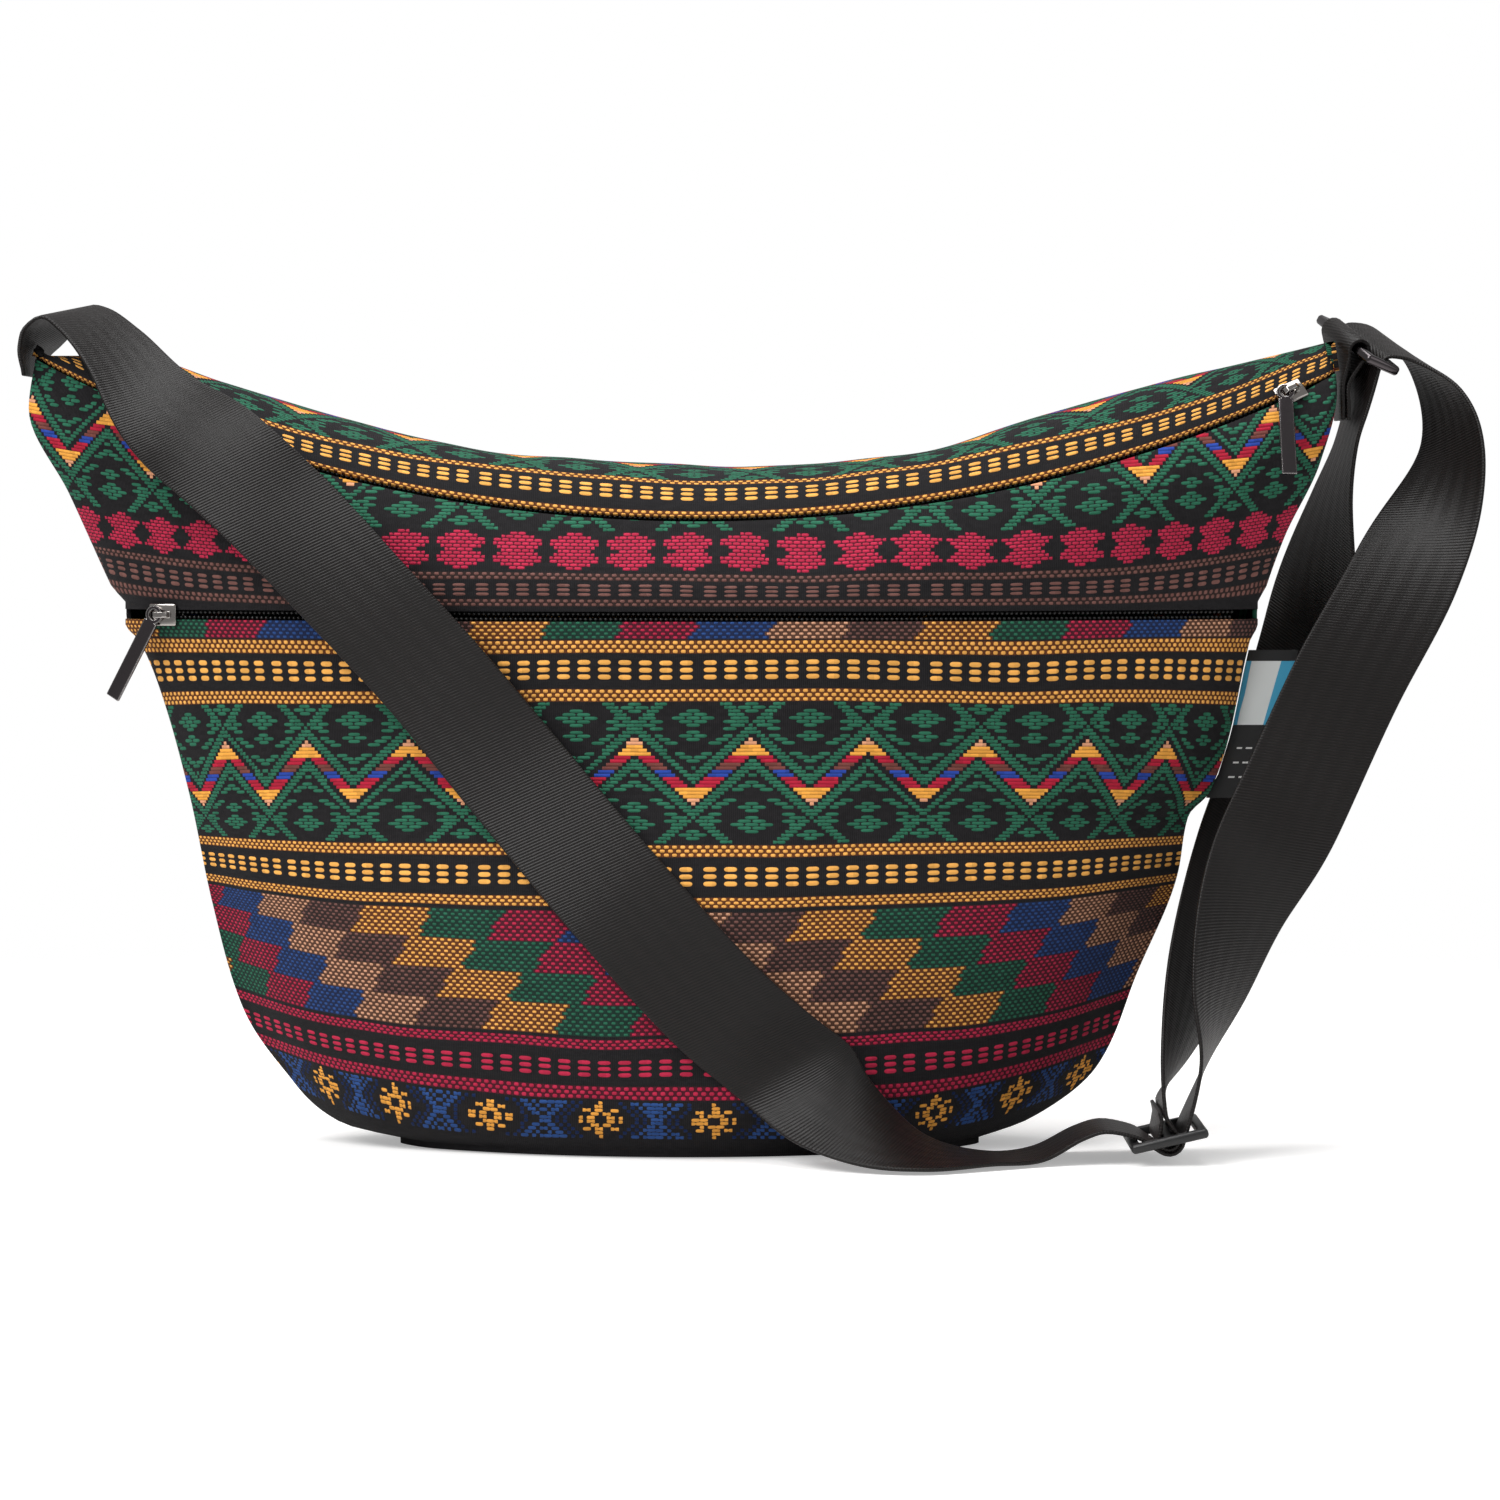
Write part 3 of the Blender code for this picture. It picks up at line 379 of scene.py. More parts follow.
class Sum:
    # A number in a shader: arithmetic on it adds Math nodes
    def __init__(self, tree, socket):
        self.tree = tree
        self.socket = socket

    def op(self, kind, *others):
        node = self.tree.nodes.new("ShaderNodeMath")
        node.operation = kind
        for i, item in enumerate((self, *others)):
            if isinstance(item, Sum):
                self.tree.links.new(item.socket, node.inputs[i])
            else:
                node.inputs[i].default_value = item
        return Sum(self.tree, node.outputs[0])

    def __add__(self, other):
        return self.op("ADD", other)

    def __sub__(self, other):
        return self.op("SUBTRACT", other)

    def __mul__(self, other):
        return self.op("MULTIPLY", other)

    def __truediv__(self, other):
        return self.op("DIVIDE", other)

    def floor(self):
        return self.op("FLOOR")

    def frac(self):
        return self.op("FRACT")

    def abs(self):
        return self.op("ABSOLUTE")

    def less(self, other):
        return self.op("LESS_THAN", other)

    def more(self, other):
        return self.op("GREATER_THAN", other)

    def between(self, low, high):
        return self.op("COMPARE", (low + high) / 2, (high - low) / 2)

    def either(self, other):
        return self.op("MAXIMUM", other)

    def inverse(self):
        return (self * -1.0) + 1.0

    def ramp(self, low, high):
        node = addNode(self.tree, "ShaderNodeMapRange", {"interpolation_type": "SMOOTHSTEP"},
                       i0=self.socket, i1=low, i2=high, i3=0.0, i4=1.0)
        return Sum(self.tree, node.outputs[0])


def blendColor(tree, mask, first, second):
    node = addNode(tree, "ShaderNodeMix", {"data_type": "RGBA"})
    for socket, value in zip((node.inputs[0], node.inputs[6], node.inputs[7]), (mask, first, second)):
        if isinstance(value, Sum):
            tree.links.new(value.socket, socket)
        elif isinstance(value, bpy.types.NodeSocket):
            tree.links.new(value, socket)
        else:
            socket.default_value = value
    return node.outputs[2]


def newMaterial(name, rough=0.5, specular=0.5):
    mat = bpy.data.materials.new(name)
    mat.use_nodes = True
    shader = mat.node_tree.nodes["Principled BSDF"]
    shader.inputs["Roughness"].default_value = rough
    shader.inputs["Specular IOR Level"].default_value = specular
    return mat, mat.node_tree, shader


def surface(tree, shader, color, relief, strength, distance):
    # color: a socket or a hex text
    if isinstance(color, str):
        shader.inputs["Base Color"].default_value = hexColor(color)
    else:
        tree.links.new(color, shader.inputs["Base Color"])
    bump = addNode(tree, "ShaderNodeBump", Strength=strength, Distance=distance, Height=relief)
    tree.links.new(bump.outputs[0], shader.inputs["Normal"])


def uvParts(tree, layer, scale):
    uv = addNode(tree, "ShaderNodeUVMap", {"uv_map": layer})
    parts = addNode(tree, "ShaderNodeSeparateXYZ", i0=uv.outputs[0])
    return Sum(tree, parts.outputs[0]) * scale, Sum(tree, parts.outputs[1]) * scale


def tone(name):
    return hexColor(threads[name])


def fromMiddle(spot, start, repeat):
    return (((spot + start) / repeat).frac() - 0.5).abs() * repeat


class Weave:
    # Cells of the weft floats, as their band's rows and the pitch of the floats give them
    def __init__(self, tree):
        self.tree = tree
        self.u, self.v = uvParts(tree, "cloth", 1000.0)
        self.kinds = {}
        base = rows = None
        for low, high, kind, color, count in bands:
            mask = self.v.between(low, high)
            base = mask * low if base is None else mask.op("MULTIPLY_ADD", low, base)
            pitch = (high - low) / count
            rows = mask * pitch if rows is None else mask.op("MULTIPLY_ADD", pitch, rows)
            key = (kind, color)
            self.kinds[key] = self.kinds[key] + mask if key in self.kinds else mask
        rows = rows.either(0.5)
        y = (self.v - base) / rows
        self.base, self.row = base, y.floor()
        self.shift = (self.row * 0.5).frac()
        x = self.u / weave["short"] + self.shift
        self.column = x.floor()
        self.middleU = (self.column - self.shift + 0.5) * weave["short"]
        self.middleV = (self.row + 0.5) * rows
        self.fine = ((self.u / weave["fine"]).floor() + 0.5) * weave["fine"]
        self.offX, self.offY = x.frac() - 0.5, y.frac() - 0.5
        self.thread = self.floatHeight(1.12, 1.0)
        self.color = tone("ground")
        self.height = None

    def floatHeight(self, lengthShare, heightShare, offX=None):
        a = ((offX or self.offX) / (lengthShare / 2)).abs().op("POWER", 4.0)
        b = (self.offY / (heightShare / 2)).abs().op("POWER", 2.0)
        return (a + b).inverse()

    def lay(self, mask, under, over, lump):
        # Each float has its thread colour at its crown and takes under at its sides and in the gaps: under is
        # the ground colour in some calls and a painted shade tone of the float's own thread in others
        floatOverGroundAndShade = blendColor(self.tree, lump.ramp(0.0, 0.35), under, over)
        self.color = blendColor(self.tree, mask, self.color, floatOverGroundAndShade)
        raised = lump.op("MAXIMUM", 0.0) * mask
        self.height = raised if self.height is None else self.height + raised


def dotsAndDashes(cloth):
    dot = cloth.floatHeight(0.64, 0.84)
    group = (cloth.u + 5054.9).op("MODULO", weave["dashGroup"])
    full = group.less(11 * weave["dash"])
    dash = cloth.floatHeight(0.66, 0.72, (group / weave["dash"]).frac() - 0.5)
    dash = dash * full + (full.inverse() * -1.0)
    for (kind, name), mask in cloth.kinds.items():
        if kind == "dots":
            # Dots get painted shade in a darker tone of their thread at their sides and between them
            cloth.lay(mask, tone(name + "Dark"), tone(name), dot)
        if kind == "dashes":
            cloth.lay(mask, tone("ground"), tone(name), dash)


def slantedBlocks(cloth):
    # Four tiers, each moved along
    tier = (cloth.middleV / weave["tier"]).floor()
    inTier = (cloth.middleV / weave["tier"]).frac() * weave["tier"]
    upper = cloth.v.more(120.0) * 5.0
    along = cloth.middleU - inTier * 0.60 + tier * weave["tierShift"] + upper + 5054.0
    turn = (along / weave["block"] / 6.0).frac() * 6.0
    # under holds painted shade: darker copies of the block colours for the sides of the floats and the gaps
    # between them
    over, under = tone("crimson"), tone("crimsonDark")
    for i, name in enumerate(("blue", "tan", "brown", "yellow", "green"), 1):
        here = turn.between(i, i + 1)
        over = blendColor(cloth.tree, here, over, tone(name))
        under = blendColor(cloth.tree, here, under, tone(name + "Dark"))
    cloth.lay(cloth.kinds[("diamonds", "")], under, over, cloth.floatHeight(0.56, 0.70))


def zigzag(cloth):
    # A zigzag of many colours between green chevrons and a lattice
    mask, middleV = cloth.kinds[("zigzag", "")], cloth.middleV
    half, slope, foot = weave["zigzag"] / 2, weave["zigzagSlope"], weave["zigzagFoot"]
    aside = fromMiddle(cloth.fine, 4997.5, weave["zigzag"])
    line = aside * slope + foot
    off = (middleV - line).abs()
    hue = tone("salmon")
    for name, low, high in (("orange", 16.6, 20.2), ("red", 20.2, 23.3), ("royal", 23.3, 25.8),
                            ("mauve", 25.8, 28.3), ("red", 28.3, 30.8), ("orange", 30.8, 34.6)):
        hue = blendColor(cloth.tree, middleV.between(low, high), hue, tone(name))
    # What lies over a valley and under a peak is the same drawing upside down
    above = middleV.more(line)
    under = above.inverse()
    rise = middleV * above + (middleV * -1.0 + 50.7) * under
    arms = (rise + (aside * above + (aside * -1.0 + half) * under) * slope - 58.2).abs().less(1.9)
    green = off.between(4.2, 7.7).either(off.more(8.8) * arms)
    # Long floats of the lattice, eight to a repeat
    wide = (cloth.u + 0.3) / weave["long"] + cloth.shift
    wideU = (wide.floor() - cloth.shift + 0.5) * weave["long"] - 0.3
    wideAside = fromMiddle(wideU, 4997.5, weave["zigzag"])
    wideSide = wideAside * above + (wideAside * -1.0 + half) * under
    wideOff = (middleV - wideAside * slope - foot).abs()
    cluster = (wideSide * 0.42 + (rise - 43.9).abs()).less(3.5)
    drop = (wideSide * 0.5 + (rise - 37.4).abs()).less(2.3)
    crest = ((wideSide * -1.0 + half) * 0.5 + (rise - 47.0).abs()).less(2.6)
    beside = wideOff.between(10.0, 13.0) * rise.less(41.6)
    corner = wideOff.between(13.6, 15.6) * rise.between(39.5, 47.0) * wideSide.more(7.0)
    lattice = cluster.either(drop.either(crest.either(beside.either(corner)))) * arms.inverse()
    long = cloth.floatHeight(0.96, 1.05, wide.frac() - 0.5)
    cloth.lay(mask * lattice * off.more(9.0), tone("ground"), tone("green"), long)
    cloth.lay(mask * green, tone("ground"), tone("green"), cloth.thread)
    cloth.lay(mask * off.less(2.7), tone("ground"), hue, cloth.floatHeight(1.9, 1.05))


def lozenges(cloth):
    # Crimson lozenges, two high
    half = weave["lozengeHalf"]
    side = fromMiddle(cloth.fine, 4996.4, weave["lozenge"])
    inHalf = fromMiddle(cloth.middleV, 0.0, half)
    steeper = (cloth.middleV - half).abs().more(half / 2) * 1.3 + 1.3
    mask = cloth.kinds[("hexagons", "")] * (side + inHalf * steeper).less(9.4)
    # crimsonDark is painted shade at the sides of the floats and between them
    cloth.lay(mask, tone("crimsonDark"), tone("crimson"), cloth.floatHeight(0.94, 0.9))


def crosses(cloth):
    # Blue crosses between orange stars with an open middle
    mask = cloth.kinds[("cross", "blue")]
    side = fromMiddle(cloth.fine, 4995.3, weave["cross"])
    rise = (cloth.middleV - weave["crossMiddle"]).abs()
    slope = side + rise * 1.25
    arms = slope.between(18.3, 20.9).either(slope.between(22.2, 24.0)).either(slope.between(25.0, 27.0))
    beside = slope.between(15.6, 16.8).either(slope.between(13.2, 14.2))
    ring = (side * 0.72 + rise).between(2.0, 4.1)
    tips = ((side - 6.9).abs() * 0.8 + rise).less(1.5).either((side * 0.7 + (rise - 4.6).abs()).less(1.3))
    tips = tips.either(((side - 4.6).abs() * 0.8 + (rise - 3.0).abs()).less(1.2))
    for part, name in ((beside, "blueDark"), (arms, "blue"), (ring.either(tips), "orange")):
        cloth.lay(mask * part, tone("ground"), tone(name), cloth.thread)


def brocade():
    # Brocade-woven cotton: rounded floats of coloured weft over a charcoal ribbed ground
    mat, tree, shader = newMaterial("brocade", 0.8, 0.12)
    cloth = Weave(tree)
    for draw in (dotsAndDashes, slantedBlocks, zigzag, lozenges, crosses):
        draw(cloth)
    cell = addNode(tree, "ShaderNodeCombineXYZ", i0=cloth.column.socket, i1=(cloth.row + cloth.base).socket)
    chance = addNode(tree, "ShaderNodeTexWhiteNoise", {"noise_dimensions": "2D"}, Vector=cell.outputs[0])
    value = Sum(tree, chance.outputs["Value"]) * 0.30 + 0.85
    rib = fromMiddle(cloth.u, 0.0, weave["rib"]) * (2.0 / weave["rib"])
    bare = cloth.height.less(0.02)
    color = blendColor(tree, bare * rib * 0.5, cloth.color, tone("groundLight"))
    hsv = addNode(tree, "ShaderNodeHueSaturation", Value=value.socket, Color=color)
    fuzz = addNode(tree, "ShaderNodeTexNoise", Scale=2600.0, Detail=3.0)
    relief = cloth.height * 0.34 + bare * rib * 0.10 + Sum(tree, fuzz.outputs[0]) * 0.05
    surface(tree, shader, hsv.outputs[0], relief.socket, 0.9, 0.0010)
    shader.inputs["Sheen Weight"].default_value = 0.03
    return mat


def webbingMaterial():
    # Belt-grade webbing: polypropylene tape with slanting twill ribs and faint lengthwise stripes
    mat, tree, shader = newMaterial("belt webbing", 0.42, 0.30)
    u, v = uvParts(tree, "tape", 1000.0)
    stripe = ((u / 6.3).frac() - 0.5).abs() * 2.0
    rib = (((v + u * 0.35) / 1.05).frac() - 0.5).abs() * 2.0
    edge = (u - 19.0).abs().ramp(17.2, 18.6)
    fuzz = addNode(tree, "ShaderNodeTexNoise", Scale=1800.0, Detail=2.0)
    cloudy = addNode(tree, "ShaderNodeTexNoise", Scale=35.0, Detail=2.0)
    lit = rib.ramp(0.15, 0.9) * 0.75 + Sum(tree, cloudy.outputs[0]) * 0.25
    color = blendColor(tree, lit * (stripe * 0.3 + 0.7), hexColor("#040302"), hexColor("#171110"))
    relief = rib.ramp(0.1, 0.9) * 0.16 + stripe * 0.16 + Sum(tree, fuzz.outputs[0]) * 0.06
    relief = relief - edge * 0.1
    surface(tree, shader, color, relief.socket, 0.8, 0.0007)
    shader.inputs["Sheen Weight"].default_value = 0.10
    shader.inputs["Sheen Roughness"].default_value = 0.30
    shader.inputs["Sheen Tint"].default_value = hexColor("#b5a7a6")
    return mat


def tapeMaterial():
    # Woven polyester zip tape: fine dull black grain
    mat, tree, shader = newMaterial("zip tape", 0.85, 0.15)
    grain = addNode(tree, "ShaderNodeTexNoise", Scale=1500.0, Detail=3.0)
    surface(tree, shader, "#131313", grain.outputs[0], 0.5, 0.0003)
    return mat


def nylonMaterial():
    # Nylon coil: smooth black plastic with a soft highlight on each tooth
    mat, _, shader = newMaterial("nylon coil", 0.34)
    shader.inputs["Base Color"].default_value = hexColor("#161616")
    return mat


def gunmetalMaterial(name, face, paintedEdgeHighlight):
    # Nickel plate: dark mirror, a little uneven, with a painted highlight: its colour is made bright along
    # its rounded edges
    mat, tree, shader = newMaterial(name)
    wear = addNode(tree, "ShaderNodeTexNoise", Scale=420.0, Detail=4.0)
    rough = Sum(tree, wear.outputs[0]) * 0.10 + 0.12
    tree.links.new(rough.socket, shader.inputs["Roughness"])
    # Where a rounded normal leaves the true one, the plate is at an edge, and there the painted highlight
    # colour is laid
    rounded = addNode(tree, "ShaderNodeBevel", {"samples": 6}, Radius=0.0007)
    plain = addNode(tree, "ShaderNodeNewGeometry")
    facing = addNode(tree, "ShaderNodeVectorMath", {"operation": "DOT_PRODUCT"}, i0=rounded.outputs[0],
                     i1=plain.outputs["Normal"])
    edge = Sum(tree, facing.outputs["Value"]).ramp(0.99, 0.86)
    color = blendColor(tree, edge, hexColor(face), hexColor(paintedEdgeHighlight))
    tree.links.new(color, shader.inputs["Base Color"])
    shader.inputs["Metallic"].default_value = 1.0
    return mat


def enamelMaterial():
    # Satin black enamel on die-cast zinc: soft wide highlights
    mat, tree, shader = newMaterial("black enamel", 0.38)
    grain = addNode(tree, "ShaderNodeTexNoise", Scale=900.0, Detail=2.0)
    surface(tree, shader, "#1b1b1c", grain.outputs[0], 0.2, 0.0001)
    return mat


def plainCloth(name, dark, pale):
    # Plain weave: fine even grain of two near tones
    mat, tree, shader = newMaterial(name, 0.85, 0.12)
    grain = addNode(tree, "ShaderNodeTexNoise", Scale=1400.0, Detail=3.0)
    color = blendColor(tree, Sum(tree, grain.outputs[0]).ramp(0.3, 0.7), hexColor(dark), hexColor(pale))
    surface(tree, shader, color, grain.outputs[0], 0.5, 0.0004)
    return mat


def labelMaterial():
    # Woven damask label: dark selvedge, pale field with a blue stripe, dark lower half with white dashes
    mat, tree, shader = newMaterial("woven label", 0.6)
    u, v = uvParts(tree, "label", 1000.0)
    pale = v.between(25.5, 47.5)
    color = blendColor(tree, pale, hexColor("#151516"), hexColor("#dfe3e2"))
    color = blendColor(tree, pale * u.less(1.8).either(u.more(12.0)), color, hexColor("#3f9fc4"))
    row = ((v / 5.0).frac() - 0.5).abs()
    stitch = row.less(0.06) * (u / 4.0).frac().less(0.6) * v.between(4.0, 20.0) * u.between(3.0, 13.5)
    color = blendColor(tree, stitch, color, hexColor("#d8d8d6"))
    relief = ((v / 0.35).frac() - 0.5).abs() + ((u / 0.35).frac() - 0.5).abs()
    surface(tree, shader, color, relief.socket, 0.4, 0.0002)
    return mat


materials = dict(
    brocade=brocade(), webbing=webbingMaterial(), tape=tapeMaterial(), nylon=nylonMaterial(),
    # The third colour of each nickel is its painted edge highlight
    gunmetal=gunmetalMaterial("black nickel with painted edge highlight", "#565153", "#e2dfdc"), label=labelMaterial(),
    nickel=gunmetalMaterial("nickel with painted edge highlight", "#a39e9a", "#f2f0ee"), enamel=enamelMaterial(),
    base=plainCloth("base cloth", "#141414", "#242324"), lining=plainCloth("lining", "#101010", "#1c1c1c"),
)
print("materials made")

# Cloth panels

liftAtSeam = curveThrough([(0.0, 0.006), (0.024, 0.018), (0.0783, 0.015), (0.0907, 0.009),
                           (0.128, -0.002), (0.1825, 0.002), (0.203, 0.010), (0.280, 0.010)])
riseInside = curveThrough([(0.0, 0.0), (0.018, 0.0006), (0.035, 0.0018), (0.095, 0.0016),
                           (0.125, 0.0004), (0.28, 0.0)])


def patternHeight(u, point):
    # Height at which the photo's camera sees the point, less the rise of the bands at the seams
    near = max(-point.y, 0.0)
    seen = view["aimZ"] + (point.z - view["aimZ"]) * (1 + near / view["away"]) - near * view["sink"]
    return seen - liftAtSeam(point.z) * abs(u) ** 4 - riseInside(point.z)


def rowLengths(row):
    middle = min(range(len(row)), key=lambda i: abs(columns[min(i, len(columns) - 1)]))
    out = [row[middle].x] * len(row)
    for i in range(middle + 1, len(row)):
        out[i] = out[i - 1] + (row[i] - row[i - 1]).length
    for i in range(middle - 1, -1, -1):
        out[i] = out[i + 1] - (row[i + 1] - row[i]).length
    return out


def gathered(u):
    # Towards the side seams the cloth is drawn in, so more of the pattern lies there
    return math.copysign(0.139 * max(0.0, abs(u) - 0.62) ** 2, u)


def settle(point, u, edgeShare, seed):
    # Soft dents of stuffed cloth, none at the sewn edges
    size = 0.0022 * edgeShare * (1 - abs(u) ** 6)
    p = point * 14.0 + Vector((seed, 0, 0))
    q = point * 38.0 + Vector((0, seed, 0))
    return size * noise.noise(p) + size * 0.35 * noise.noise(q)


def clothPanel(name, rows, heights, side, node, edges, seed):
    colCount = len(columns)
    middle = Vector((across(0, 0.12), 0.0, 0.12))
    verts, coords = [], []
    for r, row in enumerate(rows):
        lengths = rowLengths(row)
        share = edges(r / (len(rows) - 1))
        moved = []
        for c, point in enumerate(row):
            out = (Vector((point.x, point.y, point.z)) - Vector((point.x * 0.7, 0.0, middle.z))).normalized()
            moved.append(point + out * settle(point, columns[c], share, seed))
        first, last = row[0].copy(), row[-1].copy()
        first.y = last.y = side * body["gap"] / 2
        verts += [first] + moved + [last]
        turn = body["seamTurn"]
        lengths = [lengths[0] - turn] + lengths + [lengths[-1] + turn]
        levels = [heights[r][0]] + heights[r] + [heights[r][-1]]
        for u, length, height in zip([-1.0] + columns + [1.0], lengths, levels):
            coords.append((length * view["spread"] + gathered(u), height))
    obj = newObject(name, verts, gridFaces(len(rows), colCount + 2))
    addUv(obj, "cloth", coords)
    area = sum(p.area for p in obj.data.polygons)
    addSolidify(obj, body["cloth"])
    addBevel(obj, 0.00045, 2, 60)
    bake(obj)
    smoothShade(obj, 60)
    place(obj, "bag", "brocade", materials["brocade"], node)
    return obj, area


def bellEdges(low, high):
    def share(t):
        return min(1.0, t / low if low else 1.0) * min(1.0, (1 - t) / high if high else 1.0)
    return share


def pocketPanel():
    top = pocketZ - zips["pocketSlot"]
    heights = [0.0, body["foot"]] + [body["foot"] + (top - 0.002 - body["foot"]) * i / 96
                                     for i in range(1, 97)] + [top]
    rows, patterns = [], []
    for z in heights:
        seam = max(z, body["foot"])
        rows.append([Vector((across(u, seam), -frontDepth(u, seam), z)) for u in columns])
        patterns.append([patternHeight(u, p) for u, p in zip(columns, rows[-1])])
    return clothPanel("front_pocket_cloth", rows, patterns, -1, "pocket_panel", bellEdges(0.12, 0.10), 3.0)


def upperPanel():
    low = pocketZ + zips["pocketSlot"]
    lows = [Vector((0, -frontDepth(u, low), low + zips["band"])) for u in columns]
    highs = [mainEdge(u, -1, zips["band"]) for u in columns]
    rows = [[Vector((across(u, low), -frontDepth(u, low), low)) for u in columns]]
    for i in range(29):
        row = []
        for u, a, b in zip(columns, lows, highs):
            y, z = leaningRise(a, b, i / 28)
            row.append(Vector((across(u, z), y, z)))
        rows.append(row)
    rows.append([mainEdge(u, -1) for u in columns])
    patterns = [[patternHeight(u, p) for u, p in zip(columns, row)] for row in rows]
    return clothPanel("front_upper_cloth", rows, patterns, -1, "front_upper_panel",
                      bellEdges(0.3, 0.3), 8.0)


def backPanel():
    edges = [mainEdge(u, 1, zips["band"]) for u in columns]
    ridges = [ridgePoint(u) for u in columns]
    rows = [[mainEdge(u, 1) for u in columns]]
    for i in range(17):
        row = []
        for u, edge, ridge in zip(columns, edges, ridges):
            y, z = overTheRidge(edge, ridge, i / 16)
            row.append(Vector((across(u, z), y, z)))
        rows.append(row)
    ridgeRow = len(rows) - 1
    low = 0.168
    for i in range(1, 37):
        t = (i / 36) ** 1.7
        rows.append([backPoint(u, r.z - (r.z - low) * t, r) for u, r in zip(columns, ridges)])
    heights = [low - (low - body["foot"]) * i / 62 for i in range(1, 63)] + [0.0]
    rows += [[backPoint(u, z, r) for u, r in zip(columns, ridges)] for z in heights]
    middle = len(columns) // 2
    run = [0.0]
    for before, after in zip(rows, rows[1:]):
        run.append(run[-1] + (after[middle] - before[middle]).length)
    top = 0.2785  # height in the pattern of the cloth's edge at the main zip
    drop = [(-rows[i][middle].z, top - run[i]) for i in range(ridgeRow, len(rows))]
    heightOf = [p[0] for p in drop], [p[1] for p in drop]
    patterns = []
    gone = [0.0] * len(columns)
    for r, row in enumerate(rows):
        if r:
            gone = [g + (p - q).length for g, p, q in zip(gone, row, rows[r - 1])]
        # The bands follow the zip's edge at the top and lie level further down
        line = []
        for u, g, point in zip(columns, gone, row):
            z = min(point.z, ridges[middle].z)
            flat = float(np.interp(-z, *heightOf)) + max(0.0, point.z - ridges[middle].z)
            share = min(max((g - 0.05) / 0.12, 0.0), 1.0)
            share = share * share * (3 - 2 * share)
            line.append((top - g * (1 + 0.9 * abs(u) ** 3)) * (1 - share) + flat * share)
        patterns.append(line)
    return clothPanel("back_cloth", rows, patterns, 1, "back_panel", bellEdges(0.08, 0.06), 15.0)


pocketCloth, pocketArea = pocketPanel()
upperCloth, upperArea = upperPanel()
backCloth, backArea = backPanel()
print("cloth made", round(pocketArea, 4), round(upperArea, 4), round(backArea, 4))

# Strap and webbing


def inAdjuster(*spots):
    # x and z of webbing that lies across the adjuster's bars
    return [(x, -48.0, z, 0.0, -1.0, 0.0) for x, z in spots]


def aroundRing(*spots):
    return [(*spot, -0.28, 0.90, 0.33) for spot in spots]


